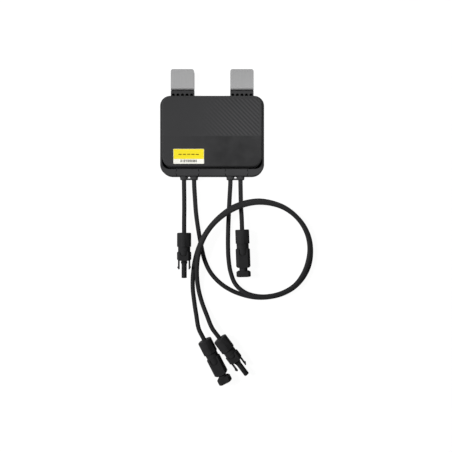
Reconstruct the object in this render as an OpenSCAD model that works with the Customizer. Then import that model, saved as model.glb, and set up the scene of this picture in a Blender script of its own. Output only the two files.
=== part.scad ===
// Power optimizer for a solar panel: a flat moulded housing with two spring clips,
// two cable entries, and two short and two long leads that end in plugs.
// It lies on its rear face: X runs across it, Y towards the clips, Z out of the cover.

/* [Housing] */
// Width of the base
body_w = 138.4; // [125:0.1:155]
// Height of the base without its clip tabs
body_h = 107; // [98:0.5:118]
// Depth from the rear face to the front of the cover
body_d = 22.9; // [21:0.1:28]
// Rear wall of the base
wall_t = 2.4; // [1.8:0.1:2.8]
// Corner radius at the clip side
top_corner_r = 13.5; // [9:0.1:18]
// Corner radius at the lead side
bottom_corner_r = 15.6; // [11:0.1:20]
// Height of the rim above the rear face
rim_z = 14; // [13:0.1:15]
// Thickness of the rim around the cover
rim_w = 2.6; // [2:0.1:3.4]
// Bevel around the rear face
back_bevel = 1.5; // [0.5:0.1:2.2]
// Bevel around the outside of the rim
rim_bevel = 1; // [0.2:0.1:1.4]
// Height of the step that carries the cover
seat_z = 8.8; // [8.6:0.1:9.4]
// Height of the bottom of the groove between rim and cover
groove_z = 4.5; // [3.5:0.1:7]
// Gap between pieces that are pushed together
fit_gap = 0.15; // [0.05:0.01:0.3]

/* [Cover] */
// Gap between the cover and the rim
cover_gap = 0.6; // [0.5:0.1:2]
// Gap between the cover and the entry bar
bar_gap = 1.8; // [1.5:0.1:3]
// Corner radius of the cover at the clip side
cover_top_r = 10.4; // [7:0.1:14]
// Corner radius of the cover at the lead side
cover_foot_r = 13.5; // [10.5:0.1:16]
// Corner radius of the recess around the cover at the lead side
recess_foot_r = 10; // [7:0.1:10.4]
// Inward lean of the cover's side walls
cover_draft = 0.6; // [0:0.1:1.5]
// Radius of the cover's front edge
cover_edge_r = 1.8; // [1:0.1:3.5]
// Thickness of the cover's front
cover_front_t = 2.2; // [1.6:0.1:3]
// Height of the crease across the front, from the housing's middle
crease_y = -2; // [-15:0.5:15]
// Drop of the front from the crease to the lead side
front_drop = 1.2; // [0.4:0.1:2.4]
// Width of the seal and of the step under it
seat_w = 1.4; // [1:0.1:2]
// Thickness of the seal
seal_t = 0.8; // [0.5:0.1:1.2]
// Thickness of the lip that locates the cover
lip_t = 1; // [0.8:0.1:1.6]
// Reach of the lip below the step
lip_h = 1.8; // [1:0.1:2.4]
// Distance between the diagonal grooves
rib_pitch = 4; // [3:0.1:8]
// Width of a diagonal groove
rib_groove_w = 1.6; // [0.8:0.1:2.4]
// Depth of the grooves at their deep end
rib_depth = 0.4; // [0.2:0.05:0.8]
// Plain border around the grooves
rib_border = 1.2; // [1:0.1:5]

/* [Label] */
// Width of the label
label_w = 40.2; // [30:0.1:50]
// Height of the label
label_h = 19.4; // [15:0.1:28]
// Thickness of the label
label_t = 0.2; // [0.1:0.05:0.4]
// Distance from the housing's side to the label
label_inset = 18.7; // [9:0.1:75]
// Distance from the crease to the label's upper edge
label_drop = 16.8; // [2:0.1:18]
// Corner radius of the label
label_r = 1; // [0.5:0.1:3]

/* [Cable entry] */
// Height of the entry bar along the housing
bar_h = 9.3; // [8.5:0.1:12]
// Radius of the gland blocks' outer edge
bar_round = 1.6; // [1:0.1:3]
// Middle of each pair of leads from the housing's middle
lead_pair_x = 31.2; // [28:0.1:34]
// Distance between the leads of a pair
lead_pitch = 13.6; // [12.5:0.1:15]
// Width of each gland block
gland_w = 28.4; // [27:0.1:29.6]
// Seam between a gland block and the housing beside it
gland_seam = 0.7; // [0.3:0.1:1]
// Offset of the block from its pair of leads
gland_shift = 1.4; // [0:0.1:2]
// Height of the leads above the rear face
gland_z = 6.4; // [6:0.1:6.6]
// Width of the keys that hold a block in its notch
key_w = 1.2; // [0.8:0.1:1.6]
// Length of those keys along the housing
key_h = 3; // [2:0.1:4]
// Length of a nozzle outside the housing
nozzle_len = 4.4; // [3:0.1:8]
// Radius of a nozzle at the housing
nozzle_root_r = 5.6; // [5:0.1:6]
// Radius of a nozzle at its tip
nozzle_tip_r = 4.9; // [3.7:0.1:5]
// Thickness of the web between the tips of two nozzles
nozzle_web = 2; // [1:0.1:2.5]

/* [Clips] */
// Distance from the housing's side to the middle of its clip
clip_inset = 29.3; // [28:0.1:37]
// Width of a clip and its tab
clip_w = 31.2; // [28:0.1:34]
// Reach of a clip beyond the housing
clip_reach = 36.6; // [30:0.1:45]
// Thickness of the clip's strip
clip_t = 1.2; // [0.8:0.1:1.5]
// Depth of a clip over both leaves
clip_d = 8.7; // [8:0.1:10]
// Height of the rear leaf above the rear face
clip_z = 0.9; // [0.8:0.1:1.3]
// Inner radius of the bends
clip_bend_r = 1.6; // [0.8:0.1:2.2]
// Corner radius at the free end of the leaves
clip_corner_r = 3; // [1:0.1:6]
// Length of the flared lips
clip_lip = 2.4; // [1.5:0.1:4]
// Flare of the lips
clip_flare = 0.7; // [0.2:0.1:0.8]
// Width of the tongue that anchors the clip
tongue_w = 14; // [10:0.1:18]
// Length of the tongue inside the tab
tongue_len = 8.6; // [6:0.1:9]
// Reach of a tab beyond the housing
tab_reach = 7.9; // [7.5:0.1:10]
// Height of a tab's front above the rear face
tab_z = 8.5; // [7.5:0.1:9.5]
// Height of the gap between tab and front leaf
tab_groove = 1.7; // [1.5:0.1:4]
// Height of the neck behind that gap
neck_z = 4.2; // [3.6:0.1:5.2]
// Diameter of the round recesses in a tab
tab_hole_d = 4.4; // [3:0.1:4.8]
// Distance between those recesses
tab_hole_pitch = 6.1; // [5.2:0.1:6.2]
// Number of recesses in a tab
tab_hole_count = 5; // [3:1:5]
// Depth of those recesses
tab_hole_depth = 5.4; // [3:0.1:5.6]

/* [Electronics] */
// Thickness of the circuit board
board_t = 1.6; // [1:0.1:1.6]
// Gap between the board and the walls around it
board_gap = 0.6; // [0.3:0.1:1.5]
// Distance of the board's posts from its edges
post_inset = 7; // [5.5:0.5:12]
// Radius of a post's pin
post_pin_r = 1.4; // [1:0.1:1.8]
// Side of the power inductor
coil_side = 28; // [20:0.5:34]
// Height of the power inductor
coil_h = 10; // [6:0.5:12]
// Length of a film capacitor
cap_w = 18; // [12:0.5:20]
// Thickness of a film capacitor
cap_t = 7; // [5:0.5:8]
// Height of a film capacitor
cap_h = 11; // [7:0.5:12]
// Side of a power transistor
fet_w = 10; // [7:0.5:11]
// Height of a power transistor
fet_h = 4.4; // [2:0.1:5]
// Side of the control chip
chip_w = 12; // [8:0.5:16]
// Height of the control chip
chip_h = 1.4; // [0.8:0.1:2.4]

/* [Leads and plugs] */
// Diameter of a lead
cable_d = 6; // [5:0.1:6.4]
// Diameter of its copper core
core_d = 2.8; // [2:0.1:3.2]
// Width of a plug nut across its flats
nut_af = 18.4; // [17.5:0.1:19.5]
// Radius that rounds the corners of a nut
nut_corner_r = 9.8; // [9.6:0.05:10.4]
// Length of a nut
nut_len = 18.6; // [17:0.1:21]
// Radius of the nut's rear edge
nut_round = 2; // [1:0.1:2.6]
// Thickness of the nut's end
nut_floor = 3; // [2.8:0.1:4]
// Length of the cable seal in a nut
plug_seal_len = 8; // [6:0.1:10]
// Radius of the cable seal
plug_seal_r = 6; // [5.2:0.1:6.4]
// Radius of the threaded spigot in a nut
spigot_r = 7; // [6.7:0.1:7.2]
// Radius of the waist in front of a nut
waist_r = 8.2; // [7.5:0.1:8.4]
// Length of the waist
waist_len = 6.2; // [4:0.1:8]
// Width of a plug housing
plug_w = 19.2; // [18.8:0.1:19.6]
// Thickness of a plug housing
plug_t = 14.8; // [13.5:0.1:16]
// Bevel on the shoulders of a plug housing
plug_bevel = 1.6; // [0.6:0.1:2]
// Bevel on the front edge of a pin plug
mouth_bevel = 0.6; // [0.2:0.1:1.2]
// Width of the thumb scoops in front of the waist of a plug housing
scoop_w = 10.6; // [8:0.1:12]
// Depth of those scoops
scoop_t = 1; // [0.5:0.1:1.4]
// Length of those scoops on a socket plug
socket_scoop = 6.4; // [6:0.1:9]
// Length of those scoops on a pin plug
pin_scoop = 10.4; // [8:0.1:14]
// Length of the collar of a socket plug
collar_len = 12.4; // [9:0.1:15]
// Length of the probe of a socket plug
probe_len = 23.2; // [20:0.1:25]
// Radius of the probe
probe_r = 3.5; // [3.3:0.05:3.7]
// Length of the thick root of the probe
probe_root_len = 4.5; // [4:0.1:6]
// Gap between the probe's root and the socket that it enters
probe_gap = 0.6; // [0.4:0.05:0.8]
// Cord diameter of the ring seal at the probe's root
ring_d = 1.2; // [1:0.05:1.4]
// Length of the latch fingers
finger_len = 11.6; // [10:0.1:12.5]
// Thickness of a latch finger
finger_t = 2; // [1.4:0.1:2.1]
// Width of a latch finger
finger_w = 5; // [4:0.1:6]
// Distance of a finger's inner face from the axis
finger_x = 6.1; // [6:0.05:6.3]
// Reach of the barb on a finger
finger_barb = 0.9; // [0.5:0.1:1.2]
// Length of the body of a pin plug behind its notches
shell_len = 26; // [20:0.1:29]
// Length of the notches that hold the fingers
notch_len = 4.3; // [4:0.1:6]
// Length of the end in front of the notches
mouth_len = 7.8; // [7:0.1:9.5]
// Radius of the bore of a pin plug
shell_bore_r = 4.6; // [4.5:0.05:4.75]
// Wall of the bore between the notches
shell_wall = 0.9; // [0.7:0.05:1]
// Radius of a contact pin
pin_r = 2; // [1.6:0.05:2.1]
// Wall of a contact socket around the pin
contact_wall = 0.5; // [0.4:0.05:0.6]
// Depth of the bore in a contact socket
contact_depth = 14; // [10:0.5:18]
// Distance of the pin's tip behind the mouth
pin_inset = 9.5; // [8:0.1:12]

/* [Hidden] */
$fn = 48;
eps = 0.01;
over = 1;
sides = [-1, 1];
cover_t = seat_w + fit_gap + lip_t;

// Edges of the housing, the entry bar and the cover
side_x = body_w / 2;
top_y = body_h / 2;
bottom_y = -top_y;
ledge_y = bottom_y + bar_h;
cover_x = side_x - rim_w - cover_gap;
cover_top_y = top_y - rim_w - cover_gap;
cover_bottom_y = ledge_y + bar_gap;
skirt_z = seat_z + seal_t;
front_inset = cover_draft + cover_edge_r;
slope_run = crease_y - cover_bottom_y - front_inset;
front_slope = atan(front_drop / slope_run);

// Cable entry
gland_x = lead_pair_x + gland_shift;
bar_half = gland_x + gland_w / 2 + key_w + gland_seam;
nozzle_tip_y = bottom_y - nozzle_len;
cable_r = cable_d / 2;
core_r = core_d / 2;
jacket_end_y = ledge_y - key_h;
lead_x = [-lead_pair_x - lead_pitch / 2, -lead_pair_x + lead_pitch / 2,
          lead_pair_x - lead_pitch / 2, lead_pair_x + lead_pitch / 2];

// Clips and label
clip_x = side_x - clip_inset;
label_x = label_inset + label_w / 2 - side_x;
tab_y = top_y + tab_reach;
web_y = tab_y + tab_groove;
clip_top_y = top_y + clip_reach;
clip_front_z = clip_z + clip_d;
tab_hole_y = top_y + tab_hole_d / 2 + fit_gap;

// Electronics
board_top_z = gland_z - core_r;
board_z = board_top_z - board_t;
board_x = cover_x - seat_w - board_gap;
board_top_y = cover_top_y - seat_w - board_gap;
board_bottom_y = cover_bottom_y + seat_w + board_gap;
board_mid_y = (board_top_y + board_bottom_y) / 2;
board_top_r = cover_top_r - seat_w;
board_foot_r = cover_foot_r - seat_w;
post_shoulder = 1.4;
post_r = post_pin_r + post_shoulder;
post_proud = 1;
post_top_z = board_top_z + post_proud;
coil_y = board_mid_y + coil_side / 4;
coil_gap = 3;
cap_gap = 2;
fet_gap = 4;
chip_gap = 4;
lug_len = 7;
lug_w = 6;
lug_wall = 1;
lug_inset = 2;
core_end_y = board_bottom_y + lug_inset + lug_len;

// Plugs
plug_axis_z = nut_corner_r;
spigot_z = nut_floor + plug_seal_len;
jacket_in = spigot_z - fit_gap;
collar_z = nut_len + waist_len;
probe_z = collar_z + collar_len;
probe_tip_z = probe_z + probe_len;
probe_root_r = shell_bore_r - probe_gap;
ring_z = probe_z + probe_root_len / 2;
contact_r = pin_r + contact_wall;
notch_z = collar_z + shell_len;
mouth_z = notch_z + notch_len;
mouth_end_z = mouth_z + mouth_len;
probe_end_gap = 1.5;
shell_floor_z = mouth_end_z - probe_len - probe_end_gap;
pin_tip_z = mouth_end_z - pin_inset;
lead_in = 0.6;
barb_ramp = 2.4;
barb_flat = 0.8;
barb_back = 0.6;
slot_gap = 2 * fit_gap;

// Place of each plug: rear end of its nut in X and Y, and its turn from straight down
short_left_at = [-37.5, -128.8, 0];
short_right_at = [40, -124.6, 2];
long_left_at = [-10.5, -272.5, 27];
long_right_at = [10, -270.2, 37];

// Points along each lead between its nozzle and its plug
short_left_route = [[-37.8, -78.5, 6], [-37.6, -97.5, 7]];
short_right_route = [[38.3, -76.5, 5], [38.7, -93.5, 4.8]];
long_left_route = [
  [-23.5, -80.5, 4.8], [-22, -102.5, 3.2], [-19, -124.5, 3], [-15, -146.5, 3], [-10.5, -165.5, 3],
  [-2.5, -182.5, 3],
  [10, -196.5, 3], [25, -206.5, 3], [41.5, -213, 3], [59, -216.5, 3], [77, -216, 3], [95, -211.5, 3],
  [111, -202.5, 3], [123, -189.5, 3], [131, -173, 3], [133.5, -155, 3], [131.5, -137, 3],
  [124.5, -120.5, 3.2], [113, -106.5, 4.2], [98, -95.2, 6.3], [81, -88.7, 8.8], [63, -85.9, 10.7],
  [45, -88.2, 11.4], [28, -94.3, 11],
  [12.5, -105, 10.2], [-0.5, -118, 9.7], [-11, -133, 9.7], [-18.5, -149.5, 9.2], [-23.5, -167, 6.4],
  [-26, -185, 3.8], [-26.5, -203.5, 3], [-24.5, -221.5, 3.6], [-21.5, -239.5, 6.6]
];
long_right_route = [
  [23.4, -80.5, 4.8], [22.3, -102.5, 3.2], [21.4, -125.5, 3], [21.2, -146.5, 3], [22, -165, 3],
  [24.8, -182.5, 3.6],
  [31.5, -198.5, 5.6], [44, -209, 8.2], [61, -214, 8.8], [79, -213.5, 8.9], [96, -208.5, 8.9],
  [111, -199, 8.9], [121.5, -185, 8.9], [128, -168.5, 8.9], [130.5, -151, 8.9], [128, -133.5, 9.2],
  [120.5, -117.5, 9.9],
  [109, -104.5, 11.4], [94, -95, 13.6], [77, -90, 15.9], [59.5, -89, 17.4], [42, -92.3, 17.8],
  [25.5, -99.3, 17.3], [11, -109, 16.5], [-1.5, -121.5, 16], [-11, -136.5, 15.9], [-17, -153, 14.8],
  [-20, -170.5, 11.2], [-20.5, -188.5, 7], [-18.5, -206, 4], [-14, -223, 3.4], [-7.5, -239.5, 6.2]
];
plug_run = 15;
nozzle_run = 2;
lead_sides = 10;

// Point on a plug's axis, a distance in front of the rear end of its nut
function plug_point(at, s) = [at.x + s * sin(at.z), at.y - s * cos(at.z), plug_axis_z];

// Whole centreline of a lead, from inside its nozzle to inside its nut
function lead_line(x, route, at) = concat(
  [[x, jacket_end_y, gland_z], [x, nozzle_tip_y - nozzle_run, gland_z]],
  route,
  [plug_point(at, -plug_run), plug_point(at, jacket_in)]
);

// Direction of a line of points at one of them
function heading(p, i) =
  let (d = p[min(i + 1, len(p) - 1)] - p[max(i - 1, 0)])
  d / norm(d);

// Ring of points around a centre, square to a direction
function ring(c, t, r) =
  let (side = cross(t, [0, 0, 1]) / norm(cross(t, [0, 0, 1])), up = cross(side, t))
  [for (i = [0 : lead_sides - 1])
    c + r * (cos(360 * i / lead_sides) * side + sin(360 * i / lead_sides) * up)];

// Two triangles between neighbouring rings k and k + 1 at corner i
function band(k, i) =
  let (n = lead_sides, a = k * n + i, b = k * n + (i + 1) % n)
  [[a, b, b + n], [a, b + n, a + n]];

// Tube swept along a line of points
module tube(line, r) {
  n = lead_sides;
  last = len(line) - 1;
  points = [for (i = [0 : last]) each ring(line[i], heading(line, i), r)];
  faces = concat(
    [[for (i = [0 : n - 1]) n - 1 - i]],
    [for (k = [0 : last - 1], i = [0 : n - 1]) each band(k, i)],
    [[for (i = [0 : n - 1]) last * n + i]]
  );
  polyhedron(points, faces, convexity = 10);
}

// Four posts at the corners of an outline, with their own radii at top and bottom
module corner_posts(x, y0, y1, r_top, r_bottom, h) {
  for (s = sides) {
    translate([s * (x - r_top), y1 - r_top, 0])
      cylinder(r = r_top, h = h);
    translate([s * (x - r_bottom), y0 + r_bottom, 0])
      cylinder(r = r_bottom, h = h);
  }
}

// Slab with rounded corners
module slab(x, y0, y1, r_top, r_bottom, h) {
  hull()
    corner_posts(x, y0, y1, r_top, r_bottom, h);
}

// Posts at the corners of the base's outline, drawn in by an inset, between two heights
module base_posts(inset, z0, z1) {
  translate([0, 0, z0])
    corner_posts(side_x - inset, bottom_y + inset, top_y - inset,
                 top_corner_r - inset, bottom_corner_r - inset, z1 - z0);
}

// Slab with the outline of the recess that the rim and the entry bar leave for the cover
module recess_slab(h) {
  slab(side_x - rim_w, ledge_y, top_y - rim_w, top_corner_r - rim_w, recess_foot_r, h);
}

// Slab with the outline of the cover's skirt, drawn in by an inset
module cover_slab(inset, h) {
  slab(cover_x - inset, cover_bottom_y + inset, cover_top_y - inset,
       cover_top_r - inset, cover_foot_r - inset, h);
}

// Body of the base with its bevelled rear edge and rim
module base_body() {
  hull() {
    base_posts(back_bevel, 0, back_bevel);
    base_posts(0, back_bevel, rim_z - rim_bevel);
    base_posts(rim_bevel, rim_z - rim_bevel, rim_z);
  }
}

// Section of the gland blocks, from their floor to the front
module bar_section(floor_z) {
  round_y = bottom_y + bar_round;
  difference() {
    translate([bottom_y, floor_z])
      square([bar_h, rim_z - floor_z]);
    translate([bottom_y - eps, rim_z - bar_round])
      square([bar_round + eps, bar_round + eps]);
  }
  intersection() {
    translate([round_y, rim_z - bar_round])
      circle(bar_round);
    translate([bottom_y, floor_z])
      square([bar_round + eps, rim_z - floor_z + eps]);
  }
}

// Bar with that section along X
module bar_length(x0, x1, floor_z) {
  translate([x0, 0, 0])
    rotate([90, 0, 90])
      linear_extrude(x1 - x0)
        bar_section(floor_z);
}

// Plan of a gland block with its two keys, widened by a gap and, beside the block, by a seam
module gland_plan(gap, seam) {
  key_out = gland_w / 2 + gland_seam + key_w + gap;
  translate([-gland_w / 2 - seam, bottom_y - gap])
    square([gland_w + 2 * seam, bar_h + 2 * gap]);
  translate([-key_out, ledge_y - 2 * key_h - gap])
    square([2 * key_out, key_h + 2 * gap]);
}

// Tab that carries a clip, with the neck behind the groove
module clip_tab(s) {
  translate([s * clip_x - clip_w / 2, top_y - rim_w, 0])
    cube([clip_w, tab_reach + rim_w, tab_z]);
  translate([s * clip_x - clip_w / 2, top_y, 0])
    cube([clip_w, tab_reach + tab_groove, neck_z]);
}

// Slot for a clip's tongue and the round recesses of its tab
module tab_cuts(s) {
  translate([s * clip_x - tongue_w / 2 - fit_gap, web_y - tongue_len - fit_gap, clip_z - fit_gap])
    cube([tongue_w + 2 * fit_gap, tongue_len + over, clip_t + 2 * fit_gap]);
  for (i = [0 : tab_hole_count - 1]) {
    x = s * clip_x + (i - (tab_hole_count - 1) / 2) * tab_hole_pitch;
    translate([x, tab_hole_y, tab_z - tab_hole_depth])
      cylinder(d = tab_hole_d, h = tab_hole_depth + over);
  }
}

// Posts that carry the circuit board, or the holes for their pins
module board_pins(r, h) {
  for (s = sides, y = [board_bottom_y + lug_len + post_inset, board_top_y - post_inset])
    translate([s * (board_x - post_inset), y, 0])
      cylinder(r = r, h = h);
}

// Space for the cover's skirt, with a deeper groove around it except in front of the glands
module cover_recess() {
  translate([0, 0, seat_z])
    recess_slab(rim_z);
  difference() {
    translate([0, 0, groove_z])
      recess_slab(rim_z);
    cover_slab(0, 2 * rim_z);
    translate([-bar_half, bottom_y, 0])
      cube([2 * bar_half, bar_h + bar_gap + over, 2 * rim_z]);
  }
}

module base_shell() {
  color("#333335") {
    difference() {
      union() {
        base_body();
        for (s = sides)
          clip_tab(s);
      }
      cover_recess();
      translate([0, 0, wall_t])
        cover_slab(seat_w, rim_z);
      for (s = sides) {
        translate([s * gland_x, 0, wall_t])
          linear_extrude(rim_z)
            gland_plan(fit_gap, gland_seam);
        tab_cuts(s);
      }
      for (x = lead_x)
        translate([x, cover_bottom_y + seat_w + over, gland_z])
          rotate([90, 0, 0])
            cylinder(r = core_r + fit_gap, h = bar_gap + seat_w + 2 * over);
    }
    translate([0, 0, wall_t - eps])
      board_pins(post_r, board_z - wall_t + eps);
    translate([0, 0, wall_t])
      board_pins(post_pin_r, post_top_z - wall_t);
  }
}

// One level of the cover's outside, lower towards the lead side
module cover_level(inset, z, drop) {
  top_r = cover_top_r - inset;
  foot_r = cover_foot_r - inset;
  for (s = sides) {
    translate([s * (cover_x - inset - top_r), cover_top_y - inset - top_r, z])
      cylinder(r = top_r, h = eps, $fn = 32);
    translate([s * (cover_x - inset - eps / 2) - eps / 2, crease_y, z])
      cube(eps);
    translate([s * (cover_x - inset - foot_r), cover_bottom_y + inset + foot_r, z - drop])
      cylinder(r = foot_r, h = eps, $fn = 32);
  }
}

// Outside of the cover, with a rounded front edge
module cover_outside() {
  levels = 5;
  hull() {
    cover_level(0, skirt_z, 0);
    for (i = [0 : levels]) {
      a = 90 * i / levels;
      inset = cover_draft + cover_edge_r * (1 - cos(a));
      cover_level(inset, body_d - eps - cover_edge_r * (1 - sin(a)), front_drop);
    }
  }
}

// Hollow of the cover
module cover_inside() {
  hull() {
    cover_level(cover_t, skirt_z - eps, 0);
    cover_level(cover_t + cover_draft, body_d - cover_front_t, front_drop);
  }
}

// Diagonal grooves of the upper field, deepest at one side and fading out past the middle
module rib_grooves() {
  inset = front_inset + rib_border;
  field_x = cover_x - inset;
  fade_x = -field_x / 6;
  field_y0 = crease_y + rib_groove_w;
  field_y1 = cover_top_y - inset;
  mid_y = (field_y0 + field_y1) / 2;
  reach = field_x + field_y1 - field_y0;
  count = ceil(reach / sqrt(2) / rib_pitch);
  intersection() {
    cover_slab(inset, body_d + over);
    translate([0, field_y1, 0])
      rotate([90, 0, 0])
        linear_extrude(field_y1 - field_y0)
          polygon([[fade_x, body_d], [field_x, body_d - rib_depth],
                   [field_x, body_d + over], [fade_x, body_d + over]]);
    for (i = [-count : count])
      translate([0, mid_y, body_d])
        rotate([0, 0, -45])
          translate([-reach, i * rib_pitch - rib_groove_w / 2, -over])
            cube([2 * reach, rib_groove_w, 3 * over]);
  }
}

module front_cover() {
  color("#3b3b3d")
    difference() {
      union() {
        cover_outside();
        translate([0, 0, seat_z - lip_h])
          cover_slab(seat_w + fit_gap, lip_h + seal_t + cover_front_t);
      }
      cover_inside();
      translate([0, 0, seat_z - lip_h - over])
        cover_slab(cover_t, lip_h + seal_t + 2 * over);
      rib_grooves();
      for (x = lead_x)
        translate([x - core_r - fit_gap, cover_bottom_y, gland_z - core_r])
          cube([core_d + 2 * fit_gap, cover_t + over, core_d + fit_gap]);
    }
}

module cover_seal() {
  color("#202020")
    translate([0, 0, seat_z])
      difference() {
        cover_slab(fit_gap, seal_t);
        translate([0, 0, -over])
          cover_slab(seat_w, seal_t + 2 * over);
      }
}

module label() {
  color("#f4e522")
    translate([label_x, crease_y, body_d])
      rotate([front_slope, 0, 0])
        translate([0, -label_drop - label_h / 2, 0])
          slab(label_w / 2, -label_h / 2, label_h / 2, label_r, label_r, label_t);
}

// Gland block with two tapered nozzles, joined by a web at their tips
module gland(s) {
  color("#2f2f31")
    difference() {
      union() {
        intersection() {
          bar_length(s * gland_x - gland_w, s * gland_x + gland_w, wall_t);
          translate([s * gland_x, 0, wall_t])
            linear_extrude(rim_z)
              gland_plan(0, 0);
        }
        for (x = lead_x)
          if (x * s > 0)
            translate([x, bottom_y, gland_z])
              rotate([90, 0, 0]) {
                cylinder(r1 = nozzle_root_r, r2 = nozzle_tip_r, h = nozzle_len);
                translate([0, 0, -bar_round])
                  cylinder(r = gland_z - wall_t, h = bar_round + over);
              }
        translate([s * lead_pair_x - lead_pitch / 2, nozzle_tip_y, gland_z - nozzle_web])
          cube([lead_pitch, nozzle_web, 2 * nozzle_web]);
      }
      for (x = lead_x) {
        translate([x, jacket_end_y + fit_gap, gland_z])
          rotate([90, 0, 0])
            cylinder(r = cable_r + fit_gap, h = bar_h + nozzle_len);
        translate([x, ledge_y + over, gland_z])
          rotate([90, 0, 0])
            cylinder(r = core_r + fit_gap, h = bar_h);
      }
    }
}

// Section of a clip: two flared leaves on a web, with rounded bends
module clip_section() {
  bend = clip_bend_r + clip_t;
  lip_y = clip_top_y - clip_lip;
  difference() {
    union() {
      translate([web_y + bend, clip_z])
        square([lip_y - web_y - bend, clip_d]);
      translate([web_y, clip_z + bend])
        square([bend, clip_d - 2 * bend]);
      for (z = [clip_z + bend, clip_front_z - bend])
        translate([web_y + bend, z])
          circle(bend);
    }
    translate([web_y + bend, clip_z + clip_t])
      square([clip_reach, clip_d - 2 * clip_t]);
    translate([web_y + clip_t, clip_z + bend])
      square([bend, clip_d - 2 * bend]);
    for (z = [clip_z + bend, clip_front_z - bend])
      translate([web_y + bend, z])
        circle(clip_bend_r);
  }
  polygon([[lip_y, clip_front_z - clip_t], [lip_y, clip_front_z],
           [clip_top_y, clip_front_z + clip_flare], [clip_top_y, clip_front_z + clip_flare - clip_t]]);
  polygon([[lip_y, clip_z], [lip_y, clip_z + clip_t],
           [clip_top_y, clip_z + clip_t - clip_flare], [clip_top_y, clip_z - clip_flare]]);
}

// Spring clip with rounded free corners and a tongue that runs down into the tab
module clip(s) {
  leaf = clip_w / 2;
  color("#a6a6a6")
    translate([s * clip_x, 0, 0]) {
      difference() {
        translate([-leaf, 0, 0])
          rotate([90, 0, 90])
            linear_extrude(clip_w)
              clip_section();
        translate([-tongue_w / 2 - clip_t / 2, web_y - over, clip_z + clip_t])
          cube([tongue_w + clip_t, clip_t + over + eps, clip_d - 2 * clip_t - clip_bend_r]);
        for (m = sides)
          translate([m * leaf, clip_top_y, -over])
            corner_cut(m);
      }
      translate([-tongue_w / 2, web_y - tongue_len, clip_z])
        cube([tongue_w, tongue_len + 2 * (clip_bend_r + clip_t), clip_t]);
    }
}

// What a rounded free corner takes off a clip's leaves
module corner_cut(m) {
  linear_extrude(clip_front_z + clip_flare + 2 * over)
    difference() {
      translate([m > 0 ? -clip_corner_r : -over, -clip_corner_r])
        square(clip_corner_r + over);
      translate([-m * clip_corner_r, -clip_corner_r])
        circle(clip_corner_r);
    }
}

module circuit_board() {
  color("#2e6b3f")
    difference() {
      translate([0, 0, board_z])
        slab(board_x, board_bottom_y, board_top_y, board_top_r, board_foot_r, board_t);
      board_pins(post_pin_r + fit_gap, board_top_z + over);
    }
}

// Shielded inductor in the middle of the board
module power_inductor() {
  corner = 3;
  dimple_r = coil_side / 3;
  dimple_t = 0.6;
  color("#4a4a4c")
    translate([0, coil_y, board_top_z])
      difference() {
        slab(coil_side / 2, -coil_side / 2, coil_side / 2, corner, corner, coil_h);
        translate([0, 0, coil_h - dimple_t])
          cylinder(r = dimple_r, h = over);
      }
}

// Film capacitors in a row on each side of the inductor
module film_capacitors() {
  corner = 0.8;
  step = cap_t + cap_gap;
  color("#a9803a")
    for (s = sides, i = [-1 : 1])
      translate([s * (coil_side / 2 + coil_gap + cap_w / 2), coil_y + i * step, board_top_z])
        slab(cap_w / 2, -cap_t / 2, cap_t / 2, corner, corner, cap_h);
}

// Power transistors between the inductor and the lead side, each with its metal tab
module power_transistors() {
  tab_t = 0.8;
  tab_l = 1.5;
  step = fet_w + fet_gap;
  color("#262626")
    for (i = [-1.5 : 1.5])
      translate([i * step, coil_y - coil_side / 2 - fet_gap - fet_w / 2, board_top_z]) {
        translate([-fet_w / 2, -fet_w / 2, 0])
          cube([fet_w, fet_w, fet_h]);
        translate([-fet_w / 2, fet_w / 2 - eps, 0])
          cube([fet_w, tab_l, tab_t]);
      }
}

// Control chip with its band of leads
module control_chip() {
  lead_l = 1;
  lead_t = 0.3;
  color("#1f1f21")
    translate([-coil_side / 2 - coil_gap - cap_w - chip_gap - chip_w / 2, coil_y, board_top_z]) {
      translate([-chip_w / 2, -chip_w / 2, 0])
        cube([chip_w, chip_w, chip_h]);
      translate([-chip_w / 2 - lead_l, -chip_w / 2 - lead_l, 0])
        cube([chip_w + 2 * lead_l, chip_w + 2 * lead_l, lead_t]);
    }
}

// Solder lugs that hold the lead cores on the board
module solder_lugs() {
  color("#b8864e")
    for (x = lead_x)
      difference() {
        translate([x - lug_w / 2, core_end_y - lug_len, board_top_z])
          cube([lug_w, lug_len, core_d + lug_wall]);
        translate([x, core_end_y + over, gland_z])
          rotate([90, 0, 0])
            cylinder(r = core_r, h = lug_len + 2 * over);
        translate([x - core_r, core_end_y - lug_len - over, board_top_z - over])
          cube([core_d, lug_len + 2 * over, core_r + over]);
      }
}

// Bare copper cores, from the jackets in the glands to the lugs
module lead_cores() {
  color("#c07a45")
    for (x = lead_x)
      translate([x, core_end_y, gland_z])
        rotate([90, 0, 0])
          cylinder(r = core_r, h = core_end_y - jacket_end_y - fit_gap);
}

// Jacketed lead
module lead(x, route, at) {
  color("#2b2b2d")
    tube(lead_line(x, route, at), cable_r);
}

// Turns a plug's own frame, with its axis along Z, to where the plug lies
module at_plug(at) {
  translate([at.x, at.y, plug_axis_z])
    rotate([90, 0, at.z])
      children();
}

// Six-sided cap nut with a rounded rear edge and a stepped bore
module plug_nut() {
  color("#2c2c2e")
    difference() {
      intersection() {
        rotate_extrude() {
          translate([0, nut_round])
            square([nut_corner_r, nut_len - nut_round]);
          square([nut_corner_r - nut_round, nut_len]);
          translate([nut_corner_r - nut_round, nut_round])
            circle(nut_round);
        }
        rotate([0, 0, 30])
          cylinder(d = nut_af / cos(30), h = nut_len, $fn = 6);
      }
      translate([0, 0, -over])
        cylinder(r = cable_r + fit_gap, h = nut_len);
      translate([0, 0, nut_floor])
        cylinder(r = plug_seal_r + fit_gap, h = nut_len);
      translate([0, 0, spigot_z])
        cylinder(r = spigot_r + fit_gap, h = nut_len);
    }
}

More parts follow.
